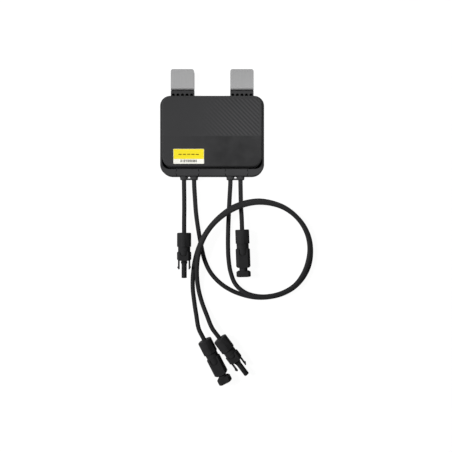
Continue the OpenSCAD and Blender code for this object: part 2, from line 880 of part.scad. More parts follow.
// Rubber sleeve that the nut squeezes onto the lead
module plug_seal() {
  color("#1c1c1c")
    translate([0, 0, nut_floor])
      difference() {
        cylinder(r = plug_seal_r, h = plug_seal_len);
        translate([0, 0, -over])
          cylinder(r = cable_r + fit_gap / 2, h = plug_seal_len + 2 * over);
      }
}

// Collar of a plug housing: round, bevelled at its rear and front and flattened above and below
module collar(z0, z1, front) {
  r = plug_w / 2;
  b = plug_bevel;
  intersection() {
    rotate_extrude()
      polygon([[0, z0], [r - b, z0], [r, z0 + b], [r, z1 - front], [r - front, z1], [0, z1]]);
    translate([-r, -plug_t / 2, z0 - over])
      cube([plug_w, plug_t, z1 - z0 + 2 * over]);
  }
}

// Scoops above and below that run from the waist into a plug housing and end round
module thumb_scoops(length) {
  for (s = sides)
    translate([0, s * plug_t / 2, collar_z])
      rotate([90, 0, 0]) {
        translate([0, length - scoop_w / 2, 0])
          cylinder(d = scoop_w, h = 2 * scoop_t, center = true);
        translate([-scoop_w / 2, -over, -scoop_t])
          cube([scoop_w, length - scoop_w / 2 + over, 2 * scoop_t]);
      }
}

// Threaded spigot and waist that both plug housings share
module plug_rear() {
  translate([0, 0, spigot_z])
    cylinder(r = spigot_r, h = collar_z - spigot_z);
  translate([0, 0, nut_len])
    cylinder(r = waist_r, h = waist_len);
}

// Latch finger with a barbed tip
module latch_finger() {
  tip_z = probe_z + finger_len;
  out_x = finger_x + finger_t;
  rotate([90, 0, 0])
    linear_extrude(finger_w, center = true)
      polygon([
        [finger_x, probe_z - plug_bevel], [finger_x, tip_z], [out_x - lead_in, tip_z],
        [out_x + finger_barb, tip_z - barb_ramp], [out_x + finger_barb, tip_z - barb_ramp - barb_flat],
        [out_x, tip_z - barb_ramp - barb_flat - barb_back], [out_x, probe_z - plug_bevel]
      ]);
}

// Housing of a socket plug: collar, probe and two latch fingers
module socket_housing() {
  color("#2a2a2c")
    difference() {
      union() {
        plug_rear();
        difference() {
          collar(collar_z, probe_z, plug_bevel);
          thumb_scoops(socket_scoop);
        }
        translate([0, 0, probe_z - over])
          cylinder(r = probe_root_r, h = probe_root_len + over);
        translate([0, 0, probe_z])
          cylinder(r = probe_r, h = probe_len - lead_in);
        translate([0, 0, probe_tip_z - lead_in])
          cylinder(r1 = probe_r, r2 = probe_r - lead_in / 2, h = lead_in);
        latch_finger();
        mirror([1, 0, 0])
          latch_finger();
      }
      translate([0, 0, spigot_z - over])
        cylinder(r = contact_r + fit_gap / 3, h = probe_tip_z);
      ring_groove();
    }
}

// Groove for the ring seal around the probe's root
module ring_groove() {
  translate([0, 0, ring_z])
    rotate_extrude()
      translate([probe_root_r, 0])
        circle(d = ring_d + fit_gap);
}

// Ring seal half sunk in the probe's root
module ring_seal() {
  color("#191919")
    translate([0, 0, ring_z])
      rotate_extrude()
        translate([probe_root_r, 0])
          circle(d = ring_d);
}

// Metal socket inside a probe
module socket_contact() {
  color("#c9c4b8")
    difference() {
      translate([0, 0, spigot_z])
        cylinder(r = contact_r, h = probe_tip_z - spigot_z - lead_in);
      translate([0, 0, probe_tip_z - lead_in - contact_depth])
        cylinder(r = pin_r, h = contact_depth + over);
    }
}

// Housing of a pin plug: body, notches for the fingers and slotted mouth
module pin_housing() {
  color("#2a2a2c")
    difference() {
      union() {
        plug_rear();
        difference() {
          collar(collar_z, notch_z, plug_bevel);
          thumb_scoops(pin_scoop);
        }
        translate([0, 0, notch_z - over])
          cylinder(r = shell_bore_r + shell_wall, h = notch_len + 2 * over);
        collar(mouth_z, mouth_end_z, mouth_bevel);
      }
      translate([0, 0, spigot_z - over])
        cylinder(r = contact_r + fit_gap / 3, h = mouth_end_z);
      translate([0, 0, shell_floor_z])
        cylinder(r = shell_bore_r, h = mouth_end_z);
      for (s = sides)
        translate([s * (finger_x + finger_t / 2), 0, mouth_z + mouth_len / 2])
          cube([finger_t + 2 * slot_gap, finger_w + 2 * slot_gap, mouth_len + 2 * over], center = true);
    }
}

// Metal pin inside a pin plug, with a rounded tip
module pin_contact() {
  color("#c9c4b8") {
    translate([0, 0, spigot_z])
      cylinder(r = contact_r, h = shell_floor_z - spigot_z);
    translate([0, 0, shell_floor_z - over])
      cylinder(r = pin_r, h = pin_tip_z - shell_floor_z - pin_r / 2 + over);
    translate([0, 0, pin_tip_z - pin_r / 2])
      cylinder(r1 = pin_r, r2 = pin_r / 2, h = pin_r / 2);
  }
}

base_shell();
front_cover();
cover_seal();
label();
gland(-1);  // gland_left
gland(1);  // gland_right
clip(-1);  // clip_left
clip(1);  // clip_right
circuit_board();
power_inductor();
film_capacitors();
power_transistors();
control_chip();
solder_lugs();
lead_cores();
lead(lead_x[0], short_left_route, short_left_at);  // short_lead_left
lead(lead_x[3], short_right_route, short_right_at);  // short_lead_right
lead(lead_x[1], long_left_route, long_left_at);  // long_lead_left
lead(lead_x[2], long_right_route, long_right_at);  // long_lead_right
at_plug(short_left_at) plug_nut();  // short_left_nut
at_plug(short_left_at) plug_seal();  // short_left_seal
at_plug(short_left_at) socket_housing();  // short_left_socket_housing
at_plug(short_left_at) socket_contact();  // short_left_contact
at_plug(short_left_at) ring_seal();  // short_left_ring
at_plug(short_right_at) plug_nut();  // short_right_nut
at_plug(short_right_at) plug_seal();  // short_right_seal
at_plug(short_right_at) pin_housing();  // short_right_pin_housing
at_plug(short_right_at) pin_contact();  // short_right_contact
at_plug(long_left_at) plug_nut();  // long_left_nut
at_plug(long_left_at) plug_seal();  // long_left_seal
at_plug(long_left_at) pin_housing();  // long_left_pin_housing
at_plug(long_left_at) pin_contact();  // long_left_contact
at_plug(long_right_at) plug_nut();  // long_right_nut
at_plug(long_right_at) plug_seal();  // long_right_seal
at_plug(long_right_at) socket_housing();  // long_right_socket_housing
at_plug(long_right_at) socket_contact();  // long_right_contact
at_plug(long_right_at) ring_seal();  // long_right_ring
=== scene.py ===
"""Looks of a power optimizer for a solar panel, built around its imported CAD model.

The optimizer lies on its rear face: X runs across the housing, Y towards the spring
clips and Z out of the cover. Everything is in metres, in the CAD model's own frame.
"""

import logging
import math
from dataclasses import dataclass, field
from enum import Enum
from typing import Sequence

import bmesh
import bpy
from mathutils import Matrix, Vector


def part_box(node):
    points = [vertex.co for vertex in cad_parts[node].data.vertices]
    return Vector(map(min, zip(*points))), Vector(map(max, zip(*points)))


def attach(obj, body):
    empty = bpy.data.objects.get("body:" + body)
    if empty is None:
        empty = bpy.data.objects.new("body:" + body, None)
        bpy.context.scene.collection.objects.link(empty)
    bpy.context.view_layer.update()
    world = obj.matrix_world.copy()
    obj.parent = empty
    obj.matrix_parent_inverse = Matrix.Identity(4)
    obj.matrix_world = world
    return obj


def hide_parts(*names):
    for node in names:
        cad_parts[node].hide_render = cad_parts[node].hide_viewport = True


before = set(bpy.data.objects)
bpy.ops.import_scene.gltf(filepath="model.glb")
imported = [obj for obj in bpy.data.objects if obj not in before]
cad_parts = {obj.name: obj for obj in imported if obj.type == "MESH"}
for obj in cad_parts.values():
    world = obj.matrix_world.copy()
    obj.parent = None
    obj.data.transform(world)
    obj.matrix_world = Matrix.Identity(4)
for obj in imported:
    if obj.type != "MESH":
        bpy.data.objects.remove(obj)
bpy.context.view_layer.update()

log = logging.getLogger("power_optimizer")
MM = 0.001
BODY = "root"
# Limits for CAD meshes: points that count as one, joints that count as flat and edges that are sharp
WELD_GAP = 0.002 * MM
FLAT_ANGLE = math.radians(0.8)
SHARP_ANGLE = math.radians(28)
LEAD_DIAMETER = 6 * MM
# Where the crease runs across the cover's front, with the flutes on one side of it
CREASE_Y = -2 * MM

Colour = tuple[float, float, float, float]
Point = tuple[float, float, float]
# A row of the cover's front: its Y, its half width and the outline's outward direction at its right end
FrontRow = tuple[float, float, Vector]


def linear(hex_colour: str) -> Colour:
    """Turn an sRGB hex value into linear light.

    Args:
        hex_colour: A colour such as "#2a2a2c".

    Returns:
        Red, green, blue and alpha from 0 to 1.
    """

    def channel(start: int) -> float:
        """Linear value of the two hex digits from start."""
        value = int(hex_colour[start : start + 2], 16) / 255
        return value / 12.92 if value <= 0.04045 else ((value + 0.055) / 1.055) ** 2.4

    return channel(1), channel(3), channel(5), 1.0


def add(tree: bpy.types.NodeTree, kind: str, links: dict | None = None, **settings) -> bpy.types.Node:
    """Add a node with its settings and links.

    Args:
        tree: The tree that gets the node.
        kind: The node's type name.
        links: For an input's name or number, the socket that feeds it or its constant.
        settings: The node's own properties.

    Returns:
        The new node.
    """
    node = tree.nodes.new(kind)
    for name, value in settings.items():
        setattr(node, name, value)
    for key, value in (links or {}).items():
        if isinstance(value, bpy.types.NodeSocket):
            tree.links.new(value, node.inputs[key])
        else:
            node.inputs[key].default_value = value
    return node


def maths(tree: bpy.types.NodeTree, operation: str, *values: object) -> bpy.types.NodeSocket:
    """Add a calculation to a tree.

    Args:
        tree: The tree that gets the Math node.
        operation: The node's operation.
        values: Its sockets or constants, in order.

    Returns:
        The socket with the result.
    """
    return add(tree, "ShaderNodeMath", dict(enumerate(values)), operation=operation).outputs["Value"]


# Octaves of the noises for grain, for drifts of colour and for the clouds of painted shade
GRAIN_OCTAVES, CLOUD_OCTAVES, SHADE_OCTAVES = 3.0, 4.0, 2.0
# Parts of a noise's range that a drift, and a patch of painted edge highlight and of painted shade, is
# spread over
CLOUD_LOW, CLOUD_HIGH = 0.3, 0.7
PATCH_LOW, PATCH_HIGH = 0.35, 0.65
# Places of the colour sockets on a Mix node
MIX_FACTOR, MIX_FIRST, MIX_SECOND, MIX_RESULT = 0, 6, 7, 2
# Places of the number sockets on a Random Value node
RANDOM_LOW, RANDOM_HIGH, RANDOM_RESULT = 2, 3, 1
# Attributes of the cover's mesh: how high a point of the fluted field is, and how strong its flutes are
FLUTE_HEIGHT, FLUTE_STRENGTH = "flute_height", "flute_strength"
# Attribute of a moulding's mesh: 1 along the middle of its rounded edges, where a highlight is painted
EDGE_HIGHLIGHT = "painted_edge_highlight"
# Place of the material that marks the faces of rounded edges while they are made
ROUNDED = 1


@dataclass(frozen=True)
class Finish:
    """A surface finish: the name, colour and roughness that every material here has."""

    name: str
    colour: str
    roughness: float

    def material(self) -> bpy.types.Material:
        """Make the material, or find it where it was made before.

        Returns:
            The material of this finish.
        """
        found = bpy.data.materials.get(self.name)
        if found is not None:
            return found
        made = bpy.data.materials.new(self.name)
        made.use_nodes = True
        tree = made.node_tree
        tree.nodes.clear()
        shader = add(
            tree,
            "ShaderNodeBsdfPrincipled",
            {"Base Color": linear(self.colour), "Roughness": self.roughness},
        )
        add(tree, "ShaderNodeOutputMaterial", {"Surface": shader.outputs["BSDF"]})
        self.detail(tree, shader)
        return made

    def detail(self, tree: bpy.types.NodeTree, shader: bpy.types.Node) -> None:
        """Give the surface its own pattern.

        Args:
            tree: The material's node tree.
            shader: Its Principled node.
        """

    def grain(
        self,
        tree: bpy.types.NodeTree,
        shader: bpy.types.Node,
        place: bpy.types.NodeSocket,
        size: float,
        depth: float,
    ) -> None:
        """Add a fine relief to the surface.

        Args:
            tree: The material's node tree.
            shader: Its Principled node.
            place: The coordinates that the relief follows.
            size: Width of one grain, in the units of those coordinates.
            depth: Height of the relief in metres.
        """
        fine = {"Vector": place, "Scale": 1 / size, "Detail": GRAIN_OCTAVES}
        noise = add(tree, "ShaderNodeTexNoise", fine)
        bump = add(tree, "ShaderNodeBump", {"Height": noise.outputs["Fac"], "Distance": depth})
        tree.links.new(bump.outputs["Normal"], shader.inputs["Normal"])

    def clouds(
        self,
        tree: bpy.types.NodeTree,
        shader: bpy.types.Node,
        place: bpy.types.NodeSocket,
        size: float,
        other: str,
        spread: float,
    ) -> bpy.types.NodeSocket:
        """Let colour and roughness drift slowly over the surface.

        Args:
            tree: The material's node tree.
            shader: Its Principled node.
            place: The coordinates that the drift follows.
            size: Width of one cloud, in the units of those coordinates.
            other: The second colour.
            spread: How far the roughness goes to each side.

        Returns:
            The socket with the drifting colour.
        """
        slow = {"Vector": place, "Scale": 1 / size, "Detail": CLOUD_OCTAVES}
        noise = add(tree, "ShaderNodeTexNoise", slow)
        limits = {"Value": noise.outputs["Fac"], "From Min": CLOUD_LOW, "From Max": CLOUD_HIGH}
        factor = add(tree, "ShaderNodeMapRange", limits).outputs["Result"]
        tint = add(
            tree,
            "ShaderNodeMix",
            {MIX_FACTOR: factor, MIX_FIRST: linear(self.colour), MIX_SECOND: linear(other)},
            data_type="RGBA",
        )
        tree.links.new(tint.outputs[MIX_RESULT], shader.inputs["Base Color"])
        rough = add(
            tree,
            "ShaderNodeMapRange",
            {"Value": factor, "To Min": self.roughness - spread, "To Max": self.roughness + spread},
        )
        tree.links.new(rough.outputs["Result"], shader.inputs["Roughness"])
        return tint.outputs[MIX_RESULT]


@dataclass(frozen=True)
class GrainedSurface(Finish):
    """A surface with a fine grain that breaks up its shine, such as moulded nylon, rubber or dry ink."""

    cloud: str
    # The real grain is about 0.2 mm wide, too fine to show, so it is drawn coarser
    grain_size: float = 0.7 * MM
    grain_depth: float = 0.035 * MM
    cloud_size: float = 34 * MM
    roughness_drift: float = 0.05
    shine: float = 0.12
    # Colour of the highlight painted along rounded edges, or empty where none is
    edge_highlight_colour: str = ""
    # Width of the patches of painted edge highlight, and how much of that colour is left between them
    highlight_size: float = 4 * MM
    highlight_least: float = 0.2

    def detail(self, tree: bpy.types.NodeTree, shader: bpy.types.Node) -> None:
        """Grain, slow drift of colour over the moulding, and a painted highlight along its rounded edges
        where it has one.

        Args:
            tree: The material's node tree.
            shader: Its Principled node.
        """
        shader.inputs["Specular IOR Level"].default_value = self.shine
        place = add(tree, "ShaderNodeTexCoord").outputs["Object"]
        drift = self.clouds(tree, shader, place, self.cloud_size, self.cloud, self.roughness_drift)
        self.grain(tree, shader, place, self.grain_size, self.grain_depth)
        # Painted highlight: a paler colour in patches along the rounded edges
        if self.edge_highlight_colour:
            edges = add(tree, "ShaderNodeAttribute", attribute_name=EDGE_HIGHLIGHT).outputs["Fac"]
            noise = add(tree, "ShaderNodeTexNoise", {"Vector": place, "Scale": 1 / self.highlight_size})
            limits = {"From Min": PATCH_LOW, "From Max": PATCH_HIGH, "To Min": self.highlight_least}
            patches = {"Value": noise.outputs["Fac"], **limits}
            share = add(tree, "ShaderNodeMapRange", patches).outputs["Result"]
            sides = {MIX_FIRST: drift, MIX_SECOND: linear(self.edge_highlight_colour)}
            sides[MIX_FACTOR] = maths(tree, "MULTIPLY", edges, share)
            highlighted = add(tree, "ShaderNodeMix", sides, data_type="RGBA").outputs[MIX_RESULT]
            tree.links.new(highlighted, shader.inputs["Base Color"])


@dataclass(frozen=True)
class CoverPlastic(GrainedSurface):
    """The cover's nylon: flutes painted pale on their crests and dark in their valleys, and painted shade
    with dim reflections darkening the field below.
    """

    # Painted light and shade on the flutes: pale on their crests, dark in their valleys
    painted_crest_light: str = "#404041"
    painted_valley_shade: str = "#2e2e2f"
    # Colour multiplied over the field below the crease: painted shade with dim painted reflections
    lower_shade_colour: str = "#c2c2c2"
    crease: float = CREASE_Y
    crease_blend: float = 0.8 * MM
    # Places along X where the painted shade starts and where it is full
    shade_from: float = -45 * MM
    shade_to: float = 15 * MM
    shade_cloud: float = 22 * MM
    # Shares of the painted shade that are left at the far side and between its clouds
    side_least: float = 0.1
    cloud_least: float = 0.4

    def detail(self, tree: bpy.types.NodeTree, shader: bpy.types.Node) -> None:
        """Paint light and shade onto the flutes by their depth, and paint shade and dim reflections over
        the lower field in soft clouds.

        Args:
            tree: The material's node tree.
            shader: Its Principled node.
        """
        super().detail(tree, shader)
        drift = shader.inputs["Base Color"].links[0].from_socket
        height = add(tree, "ShaderNodeAttribute", attribute_name=FLUTE_HEIGHT).outputs["Fac"]
        strength = add(tree, "ShaderNodeAttribute", attribute_name=FLUTE_STRENGTH).outputs["Fac"]
        # Painted light on the crests and painted shade in the valleys, following the flutes' height
        sides = {MIX_FACTOR: height, MIX_FIRST: linear(self.painted_valley_shade), MIX_SECOND: linear(self.painted_crest_light)}
        lines = add(tree, "ShaderNodeMix", sides, data_type="RGBA").outputs[MIX_RESULT]
        fluted = {MIX_FACTOR: strength, MIX_FIRST: drift, MIX_SECOND: lines}
        upper = add(tree, "ShaderNodeMix", fluted, data_type="RGBA").outputs[MIX_RESULT]
        # Painted shade and reflection over the lower field, darker towards the right in soft clouds
        shaded = add(
            tree,
            "ShaderNodeMix",
            {MIX_FACTOR: self.painted_shade(tree), MIX_FIRST: upper, MIX_SECOND: linear(self.lower_shade_colour)},
            data_type="RGBA",
            blend_type="MULTIPLY",
        ).outputs[MIX_RESULT]
        tree.links.new(shaded, shader.inputs["Base Color"])

    def painted_shade(self, tree: bpy.types.NodeTree) -> bpy.types.NodeSocket:
        """Work out how much shade is painted on the face: only below the crease, and more towards the
        right.

        Args:
            tree: The material's node tree.

        Returns:
            A socket from 0 to 1.
        """
        place = add(tree, "ShaderNodeTexCoord").outputs["Object"]
        split = add(tree, "ShaderNodeSeparateXYZ", {"Vector": place}).outputs
        drift = {"Vector": place, "Scale": 1 / self.shade_cloud, "Detail": SHADE_OCTAVES}
        clouds = add(tree, "ShaderNodeTexNoise", drift).outputs["Fac"]
        ramps = [
            (split["Y"], self.crease + self.crease_blend, self.crease - self.crease_blend, 0.0),
            (split["X"], self.shade_from, self.shade_to, self.side_least),
            (clouds, PATCH_LOW, PATCH_HIGH, self.cloud_least),
        ]
        share: bpy.types.NodeSocket | float = 1.0
        for value, start, end, least in ramps:
            limits = {"Value": value, "From Min": start, "From Max": end, "To Min": least}
            ramp = add(tree, "ShaderNodeMapRange", limits).outputs["Result"]
            share = maths(tree, "MULTIPLY", share, ramp)
        return share


@dataclass(frozen=True)
class CoatedSteel(Finish):
    """Spring strip in a baked zinc-flake coat: an even matte grey, with faint lines along the strip."""

    cloud: str
    roughness_drift: float = 0.04
    metallic: float = 0.3
    # The real rolling lines are under 0.1 mm apart, so they are drawn wider to show
    line_width: float = 0.5 * MM
    line_length: float = 30 * MM
    line_depth: float = 0.003 * MM

    def detail(self, tree: bpy.types.NodeTree, shader: bpy.types.Node) -> None:
        """Rolling lines along Y under the coat, in relief and in the shine.

        Args:
            tree: The material's node tree.
            shader: Its Principled node.
        """
        shader.inputs["Metallic"].default_value = self.metallic
        place = add(tree, "ShaderNodeTexCoord").outputs["Object"]
        across, along = 1 / self.line_width, 1 / self.line_length
        stretch = {"Vector": place, "Scale": (across, along, across)}
        drawn = add(tree, "ShaderNodeMapping", stretch).outputs["Vector"]
        self.clouds(tree, shader, drawn, 1.0, self.cloud, self.roughness_drift)
        self.grain(tree, shader, drawn, 1.0, self.line_depth)


@dataclass(frozen=True)
class ExtrudedJacket(Finish):
    """Cross-linked polyolefin jacket as extruded: matte, with faint draw lines along the lead."""

    cloud: str
    roughness_drift: float = 0.06
    girth: float = math.pi * LEAD_DIAMETER
    # The real draw lines are under 0.1 mm apart, so they are drawn wider to show
    line_width: float = 0.5 * MM
    line_length: float = 25 * MM
    line_depth: float = 0.012 * MM
    # Size of a drift in colour, in widths and lengths of a line
    cloud_lines: float = 3.0
    shine: float = 0.12

    def detail(self, tree: bpy.types.NodeTree, shader: bpy.types.Node) -> None:
        """Draw lines from the lead's own UV map: once round across, metres along.

        Args:
            tree: The material's node tree.
            shader: Its Principled node.
        """
        shader.inputs["Specular IOR Level"].default_value = self.shine
        unrolled = add(tree, "ShaderNodeUVMap", uv_map="UVMap").outputs["UV"]
        across, along = self.girth / self.line_width, 1 / self.line_length
        stretch = {"Vector": unrolled, "Scale": (across, along, 1.0)}
        drawn = add(tree, "ShaderNodeMapping", stretch).outputs["Vector"]
        self.clouds(tree, shader, drawn, self.cloud_lines, self.cloud, self.roughness_drift)
        self.grain(tree, shader, drawn, 1.0, self.line_depth)


@dataclass(frozen=True)
class PrintedFilm(Finish):
    """Printed polyester film under varnish: a field of colour on white, with a slight orange peel."""

    paper: str
    # Places and sizes as shares of the label's face, which is about twice as wide as it is high
    field_low: float = 0.32
    field_margin: float = 0.006
    peel_size: float = 0.05
    peel_depth: float = 0.004 * MM
    varnish: float = 0.1
    varnish_roughness: float = 0.3

    def detail(self, tree: bpy.types.NodeTree, shader: bpy.types.Node) -> None:
        """Coloured field above and white paper around it, from the label's own UV map.

        Args:
            tree: The material's node tree.
            shader: Its Principled node.
        """
        shader.inputs["Coat Weight"].default_value = self.varnish
        shader.inputs["Coat Roughness"].default_value = self.varnish_roughness
        face = add(tree, "ShaderNodeUVMap", uv_map="UVMap").outputs["UV"]
        split = add(tree, "ShaderNodeSeparateXYZ", {"Vector": face}).outputs
        edges = [
            (split["X"], "GREATER_THAN", self.field_margin),
            (split["X"], "LESS_THAN", 1 - self.field_margin),
            (split["Y"], "GREATER_THAN", self.field_low),
            (split["Y"], "LESS_THAN", 1 - 2 * self.field_margin),
        ]
        inside: bpy.types.NodeSocket | float = 1.0
        for place, operation, edge in edges:
            inside = maths(tree, "MULTIPLY", inside, maths(tree, operation, place, edge))
        fields = add(
            tree,
            "ShaderNodeMix",
            {MIX_FACTOR: inside, MIX_FIRST: linear(self.paper), MIX_SECOND: linear(self.colour)},
            data_type="RGBA",
        )
        tree.links.new(fields.outputs[MIX_RESULT], shader.inputs["Base Color"])
        self.grain(tree, shader, face, self.peel_size, self.peel_depth)


@dataclass(frozen=True)
class BareMetal(Finish):
    """Bare or tinned copper: a soft metal with small dull patches."""

    cloud: str
    roughness_drift: float = 0.08
    patch_size: float = 1.5 * MM
    patch_depth: float = 0.01 * MM

    def detail(self, tree: bpy.types.NodeTree, shader: bpy.types.Node) -> None:
        """Dull patches in colour, shine and relief.

        Args:
            tree: The material's node tree.
            shader: Its Principled node.
        """
        shader.inputs["Metallic"].default_value = 1.0
        place = add(tree, "ShaderNodeTexCoord").outputs["Object"]
        self.clouds(tree, shader, place, self.patch_size, self.cloud, self.roughness_drift)
        self.grain(tree, shader, place, self.patch_size, self.patch_depth)


@dataclass(frozen=True)
class BoardLaminate(Finish):
    """Glass-epoxy board under solder mask: green, with copper runs showing through as a lighter grid."""

    copper: str
    run_pitch: float = 3.0 * MM
    # Width of a run in units of the pattern, where a brick is half a unit long
    run_width: float = 0.02
    run_depth: float = 0.03 * MM

    def detail(self, tree: bpy.types.NodeTree, shader: bpy.types.Node) -> None:
        """Copper runs as the joints of a brick pattern in the mask.

        Args:
            tree: The material's node tree.
            shader: Its Principled node.
        """
        place = add(tree, "ShaderNodeTexCoord").outputs["Object"]
        runs = add(
            tree,
            "ShaderNodeTexBrick",
            {
                "Vector": place,
                "Color1": linear(self.colour),
                "Color2": linear(self.colour),
                "Mortar": linear(self.copper),
                "Scale": 1 / (2 * self.run_pitch),
                "Mortar Size": self.run_width,
            },
        )
        tree.links.new(runs.outputs["Color"], shader.inputs["Base Color"])
        bump = add(tree, "ShaderNodeBump", {"Height": runs.outputs["Fac"], "Distance": self.run_depth})
        tree.links.new(bump.outputs["Normal"], shader.inputs["Normal"])


# Glass-filled nylon from a matte mould: dark grey, hardly any shine, paler along its edges where a
# highlight is painted
HOUSING_NYLON = GrainedSurface(
    "glass_filled_nylon_housing", "#3c3c3d", 0.85, cloud="#414142", shine=0.03, edge_highlight_colour="#4c4c4d"
)
# The same nylon on the cover: flutes with painted light on their crests and painted shade in their
# valleys, and painted shade over the face below them
COVER_NYLON = CoverPlastic("glass_filled_nylon_cover", "#343435", 0.7, cloud="#383839")
# Nylon from a smoother mould: darker, with soft light along the round plugs and a highlight painted along
# its edges
PLUG_NYLON = GrainedSurface(
    "glass_filled_nylon_plug",
    "#2c2c2d",
    0.55,
    cloud="#323233",
    cloud_size=9 * MM,
    grain_depth=0.01 * MM,
    shine=0.02,
    edge_highlight_colour="#3c3c3d",
)
# Spring steel under baked zinc flake: an even mid grey, faintly lined along the strip
SPRING_STEEL = CoatedSteel("zinc_flake_coated_steel", "#9c9c9c", 0.6, cloud="#989899")
# Cross-linked jacket: dull black that drifts a little in tone along the lead
JACKET = ExtrudedJacket("cross_linked_polyolefin_jacket", "#242425", 0.75, cloud="#2b2b2c")
# Varnished polyester film: strong yellow on white
LABEL_FILM = PrintedFilm("printed_polyester_film", "#f1dd0e", 0.4, paper="#f5f4e9")
# Printing inks: thin, even and dull
BLACK_INK = GrainedSurface("black_printing_ink", "#2a2a28", 0.5, cloud="#343432", grain_depth=0.002 * MM)
OCHRE_INK = GrainedSurface("ochre_printing_ink", "#6e5b08", 0.5, cloud="#7a660c", grain_depth=0.002 * MM)
# Moulded rubber: blacker and duller than the nylon
SEAL_RUBBER = GrainedSurface("moulded_seal_rubber", "#161616", 0.7, cloud="#1d1d1d", cloud_size=6 * MM)
# Board under green solder mask, with paler copper runs
BOARD = BoardLaminate("glass_epoxy_board", "#1d5a33", 0.4, copper="#3f7d48")
# Sintered ferrite: dark grey and gritty, like fired clay
FERRITE = GrainedSurface("sintered_ferrite", "#3d3d40", 0.75, cloud="#47474a", grain_depth=0.05 * MM)
# Capacitors dipped in epoxy: brown, with a soft gloss
CAPACITOR_CASE = GrainedSurface(
    "dipped_capacitor_case", "#a5702a", 0.3, cloud="#b37f35", cloud_size=8 * MM
)
# Moulded epoxy packages: dull and near black
CHIP_EPOXY = GrainedSurface("moulded_epoxy_package", "#1b1b1d", 0.55, cloud="#222224", cloud_size=5 * MM)
# Bare copper, and copper under tin: bright metal with dull patches
COPPER = BareMetal("bare_copper", "#c77b4e", 0.35, cloud="#a9623c")
TINNED = BareMetal("tinned_contact_copper", "#c8c5bd", 0.28, cloud="#b2afa8")


def frozen(holder: bpy.types.Object) -> bpy.types.Mesh:
    """Turn an object with modifiers into a plain mesh and remove the object.

    Args:
        holder: The object, already in the scene.

    Returns:
        The finished mesh.
    """
    graph = bpy.context.evaluated_depsgraph_get()
    mesh = bpy.data.meshes.new_from_object(holder.evaluated_get(graph))
    holder.modifiers.clear()
    bpy.data.objects.remove(holder)
    return mesh


def hold(mesh: bpy.types.Mesh, name: str) -> bpy.types.Object:
    """Put a mesh in the scene as an object at the origin.

    Args:
        mesh: The object's mesh.
        name: The object's name.

    Returns:
        The object.
    """
    holder = bpy.data.objects.new(name, mesh)
    bpy.context.scene.collection.objects.link(holder)
    return holder


def to_mesh(shape: bmesh.types.BMesh, name: str) -> bpy.types.Mesh:
    """Finish a bmesh as a smooth-shaded mesh with sharp edges kept.

    Args:
        shape: The bmesh, which is freed.
        name: The mesh's name.

    Returns:
        The mesh.
    """
    for face in shape.faces:
        face.smooth = True
    mesh = bpy.data.meshes.new(name)
    shape.to_mesh(mesh)
    shape.free()
    mesh.set_sharp_from_angle(angle=SHARP_ANGLE)
    return mesh


def add_piece(
    name: str, mesh: bpy.types.Mesh, finish: Finish, nodes: Sequence[str] = ()
) -> bpy.types.Object:
    """Make a mesh a piece of the object.

    Args:
        name: The piece's name.
        mesh: Its finished mesh.
        finish: Its finish.
        nodes: The CAD nodes that it stands for.

    Returns:
        The piece.
    """
    mesh.name = name
    mesh.materials.clear()
    mesh.materials.append(finish.material())
    piece = hold(mesh, name)
    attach(piece, BODY)
    if nodes:
        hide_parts(*nodes)
    log.info("%s: %d faces in %s", name, len(mesh.polygons), finish.name)
    return piece


def dress_node(node: str, finish: Finish) -> None:
    """Give a CAD node that is shown as it is a finish.

    Args:
        node: The node's name.
        finish: Its finish.
    """
    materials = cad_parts[node].data.materials
    materials.clear()
    materials.append(finish.material())
    log.info("%s: CAD node in %s", node, finish.name)


def softened(node: str, radius: float, segments: int = 2) -> bpy.types.Mesh:
    """Copy a CAD node's mesh and round its sharp edges.

    Args:
        node: The node's name.
        radius: Width of the rounding.
        segments: Faces across the rounding.

    Returns:
        The new mesh.
    """
    shape = bmesh.new()
    shape.from_mesh(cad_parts[node].data)
    bmesh.ops.remove_doubles(shape, verts=shape.verts, dist=WELD_GAP)
    bmesh.ops.dissolve_limit(shape, angle_limit=FLAT_ANGLE, verts=shape.verts, edges=shape.edges)
    copy = to_mesh(shape, node)
    for _ in range(ROUNDED + 1):
        copy.materials.append(None)
    holder = hold(copy, node + "_copy")
    bevel = holder.modifiers.new("rounding", "BEVEL")
    bevel.width = radius
    bevel.segments = segments
    bevel.limit_method = "ANGLE"
    bevel.angle_limit = SHARP_ANGLE
    bevel.harden_normals = True
    bevel.material = ROUNDED
    mesh = frozen(holder)
    mark_edge_highlight(mesh)
    return mesh


def mark_edge_highlight(mesh: bpy.types.Mesh) -> None:
    """Store on a mesh's points where they are inside a rounded edge, where a highlight is painted.

    Args:
        mesh: The mesh, whose rounded edges still have their own material.
    """
    inside = [1.0] * len(mesh.vertices)
    for face in mesh.polygons:
        if face.material_index != ROUNDED:
            for corner in face.vertices:
                inside[corner] = 0.0
    mesh.attributes.new(EDGE_HIGHLIGHT, "FLOAT", "POINT").data.foreach_set("value", inside)


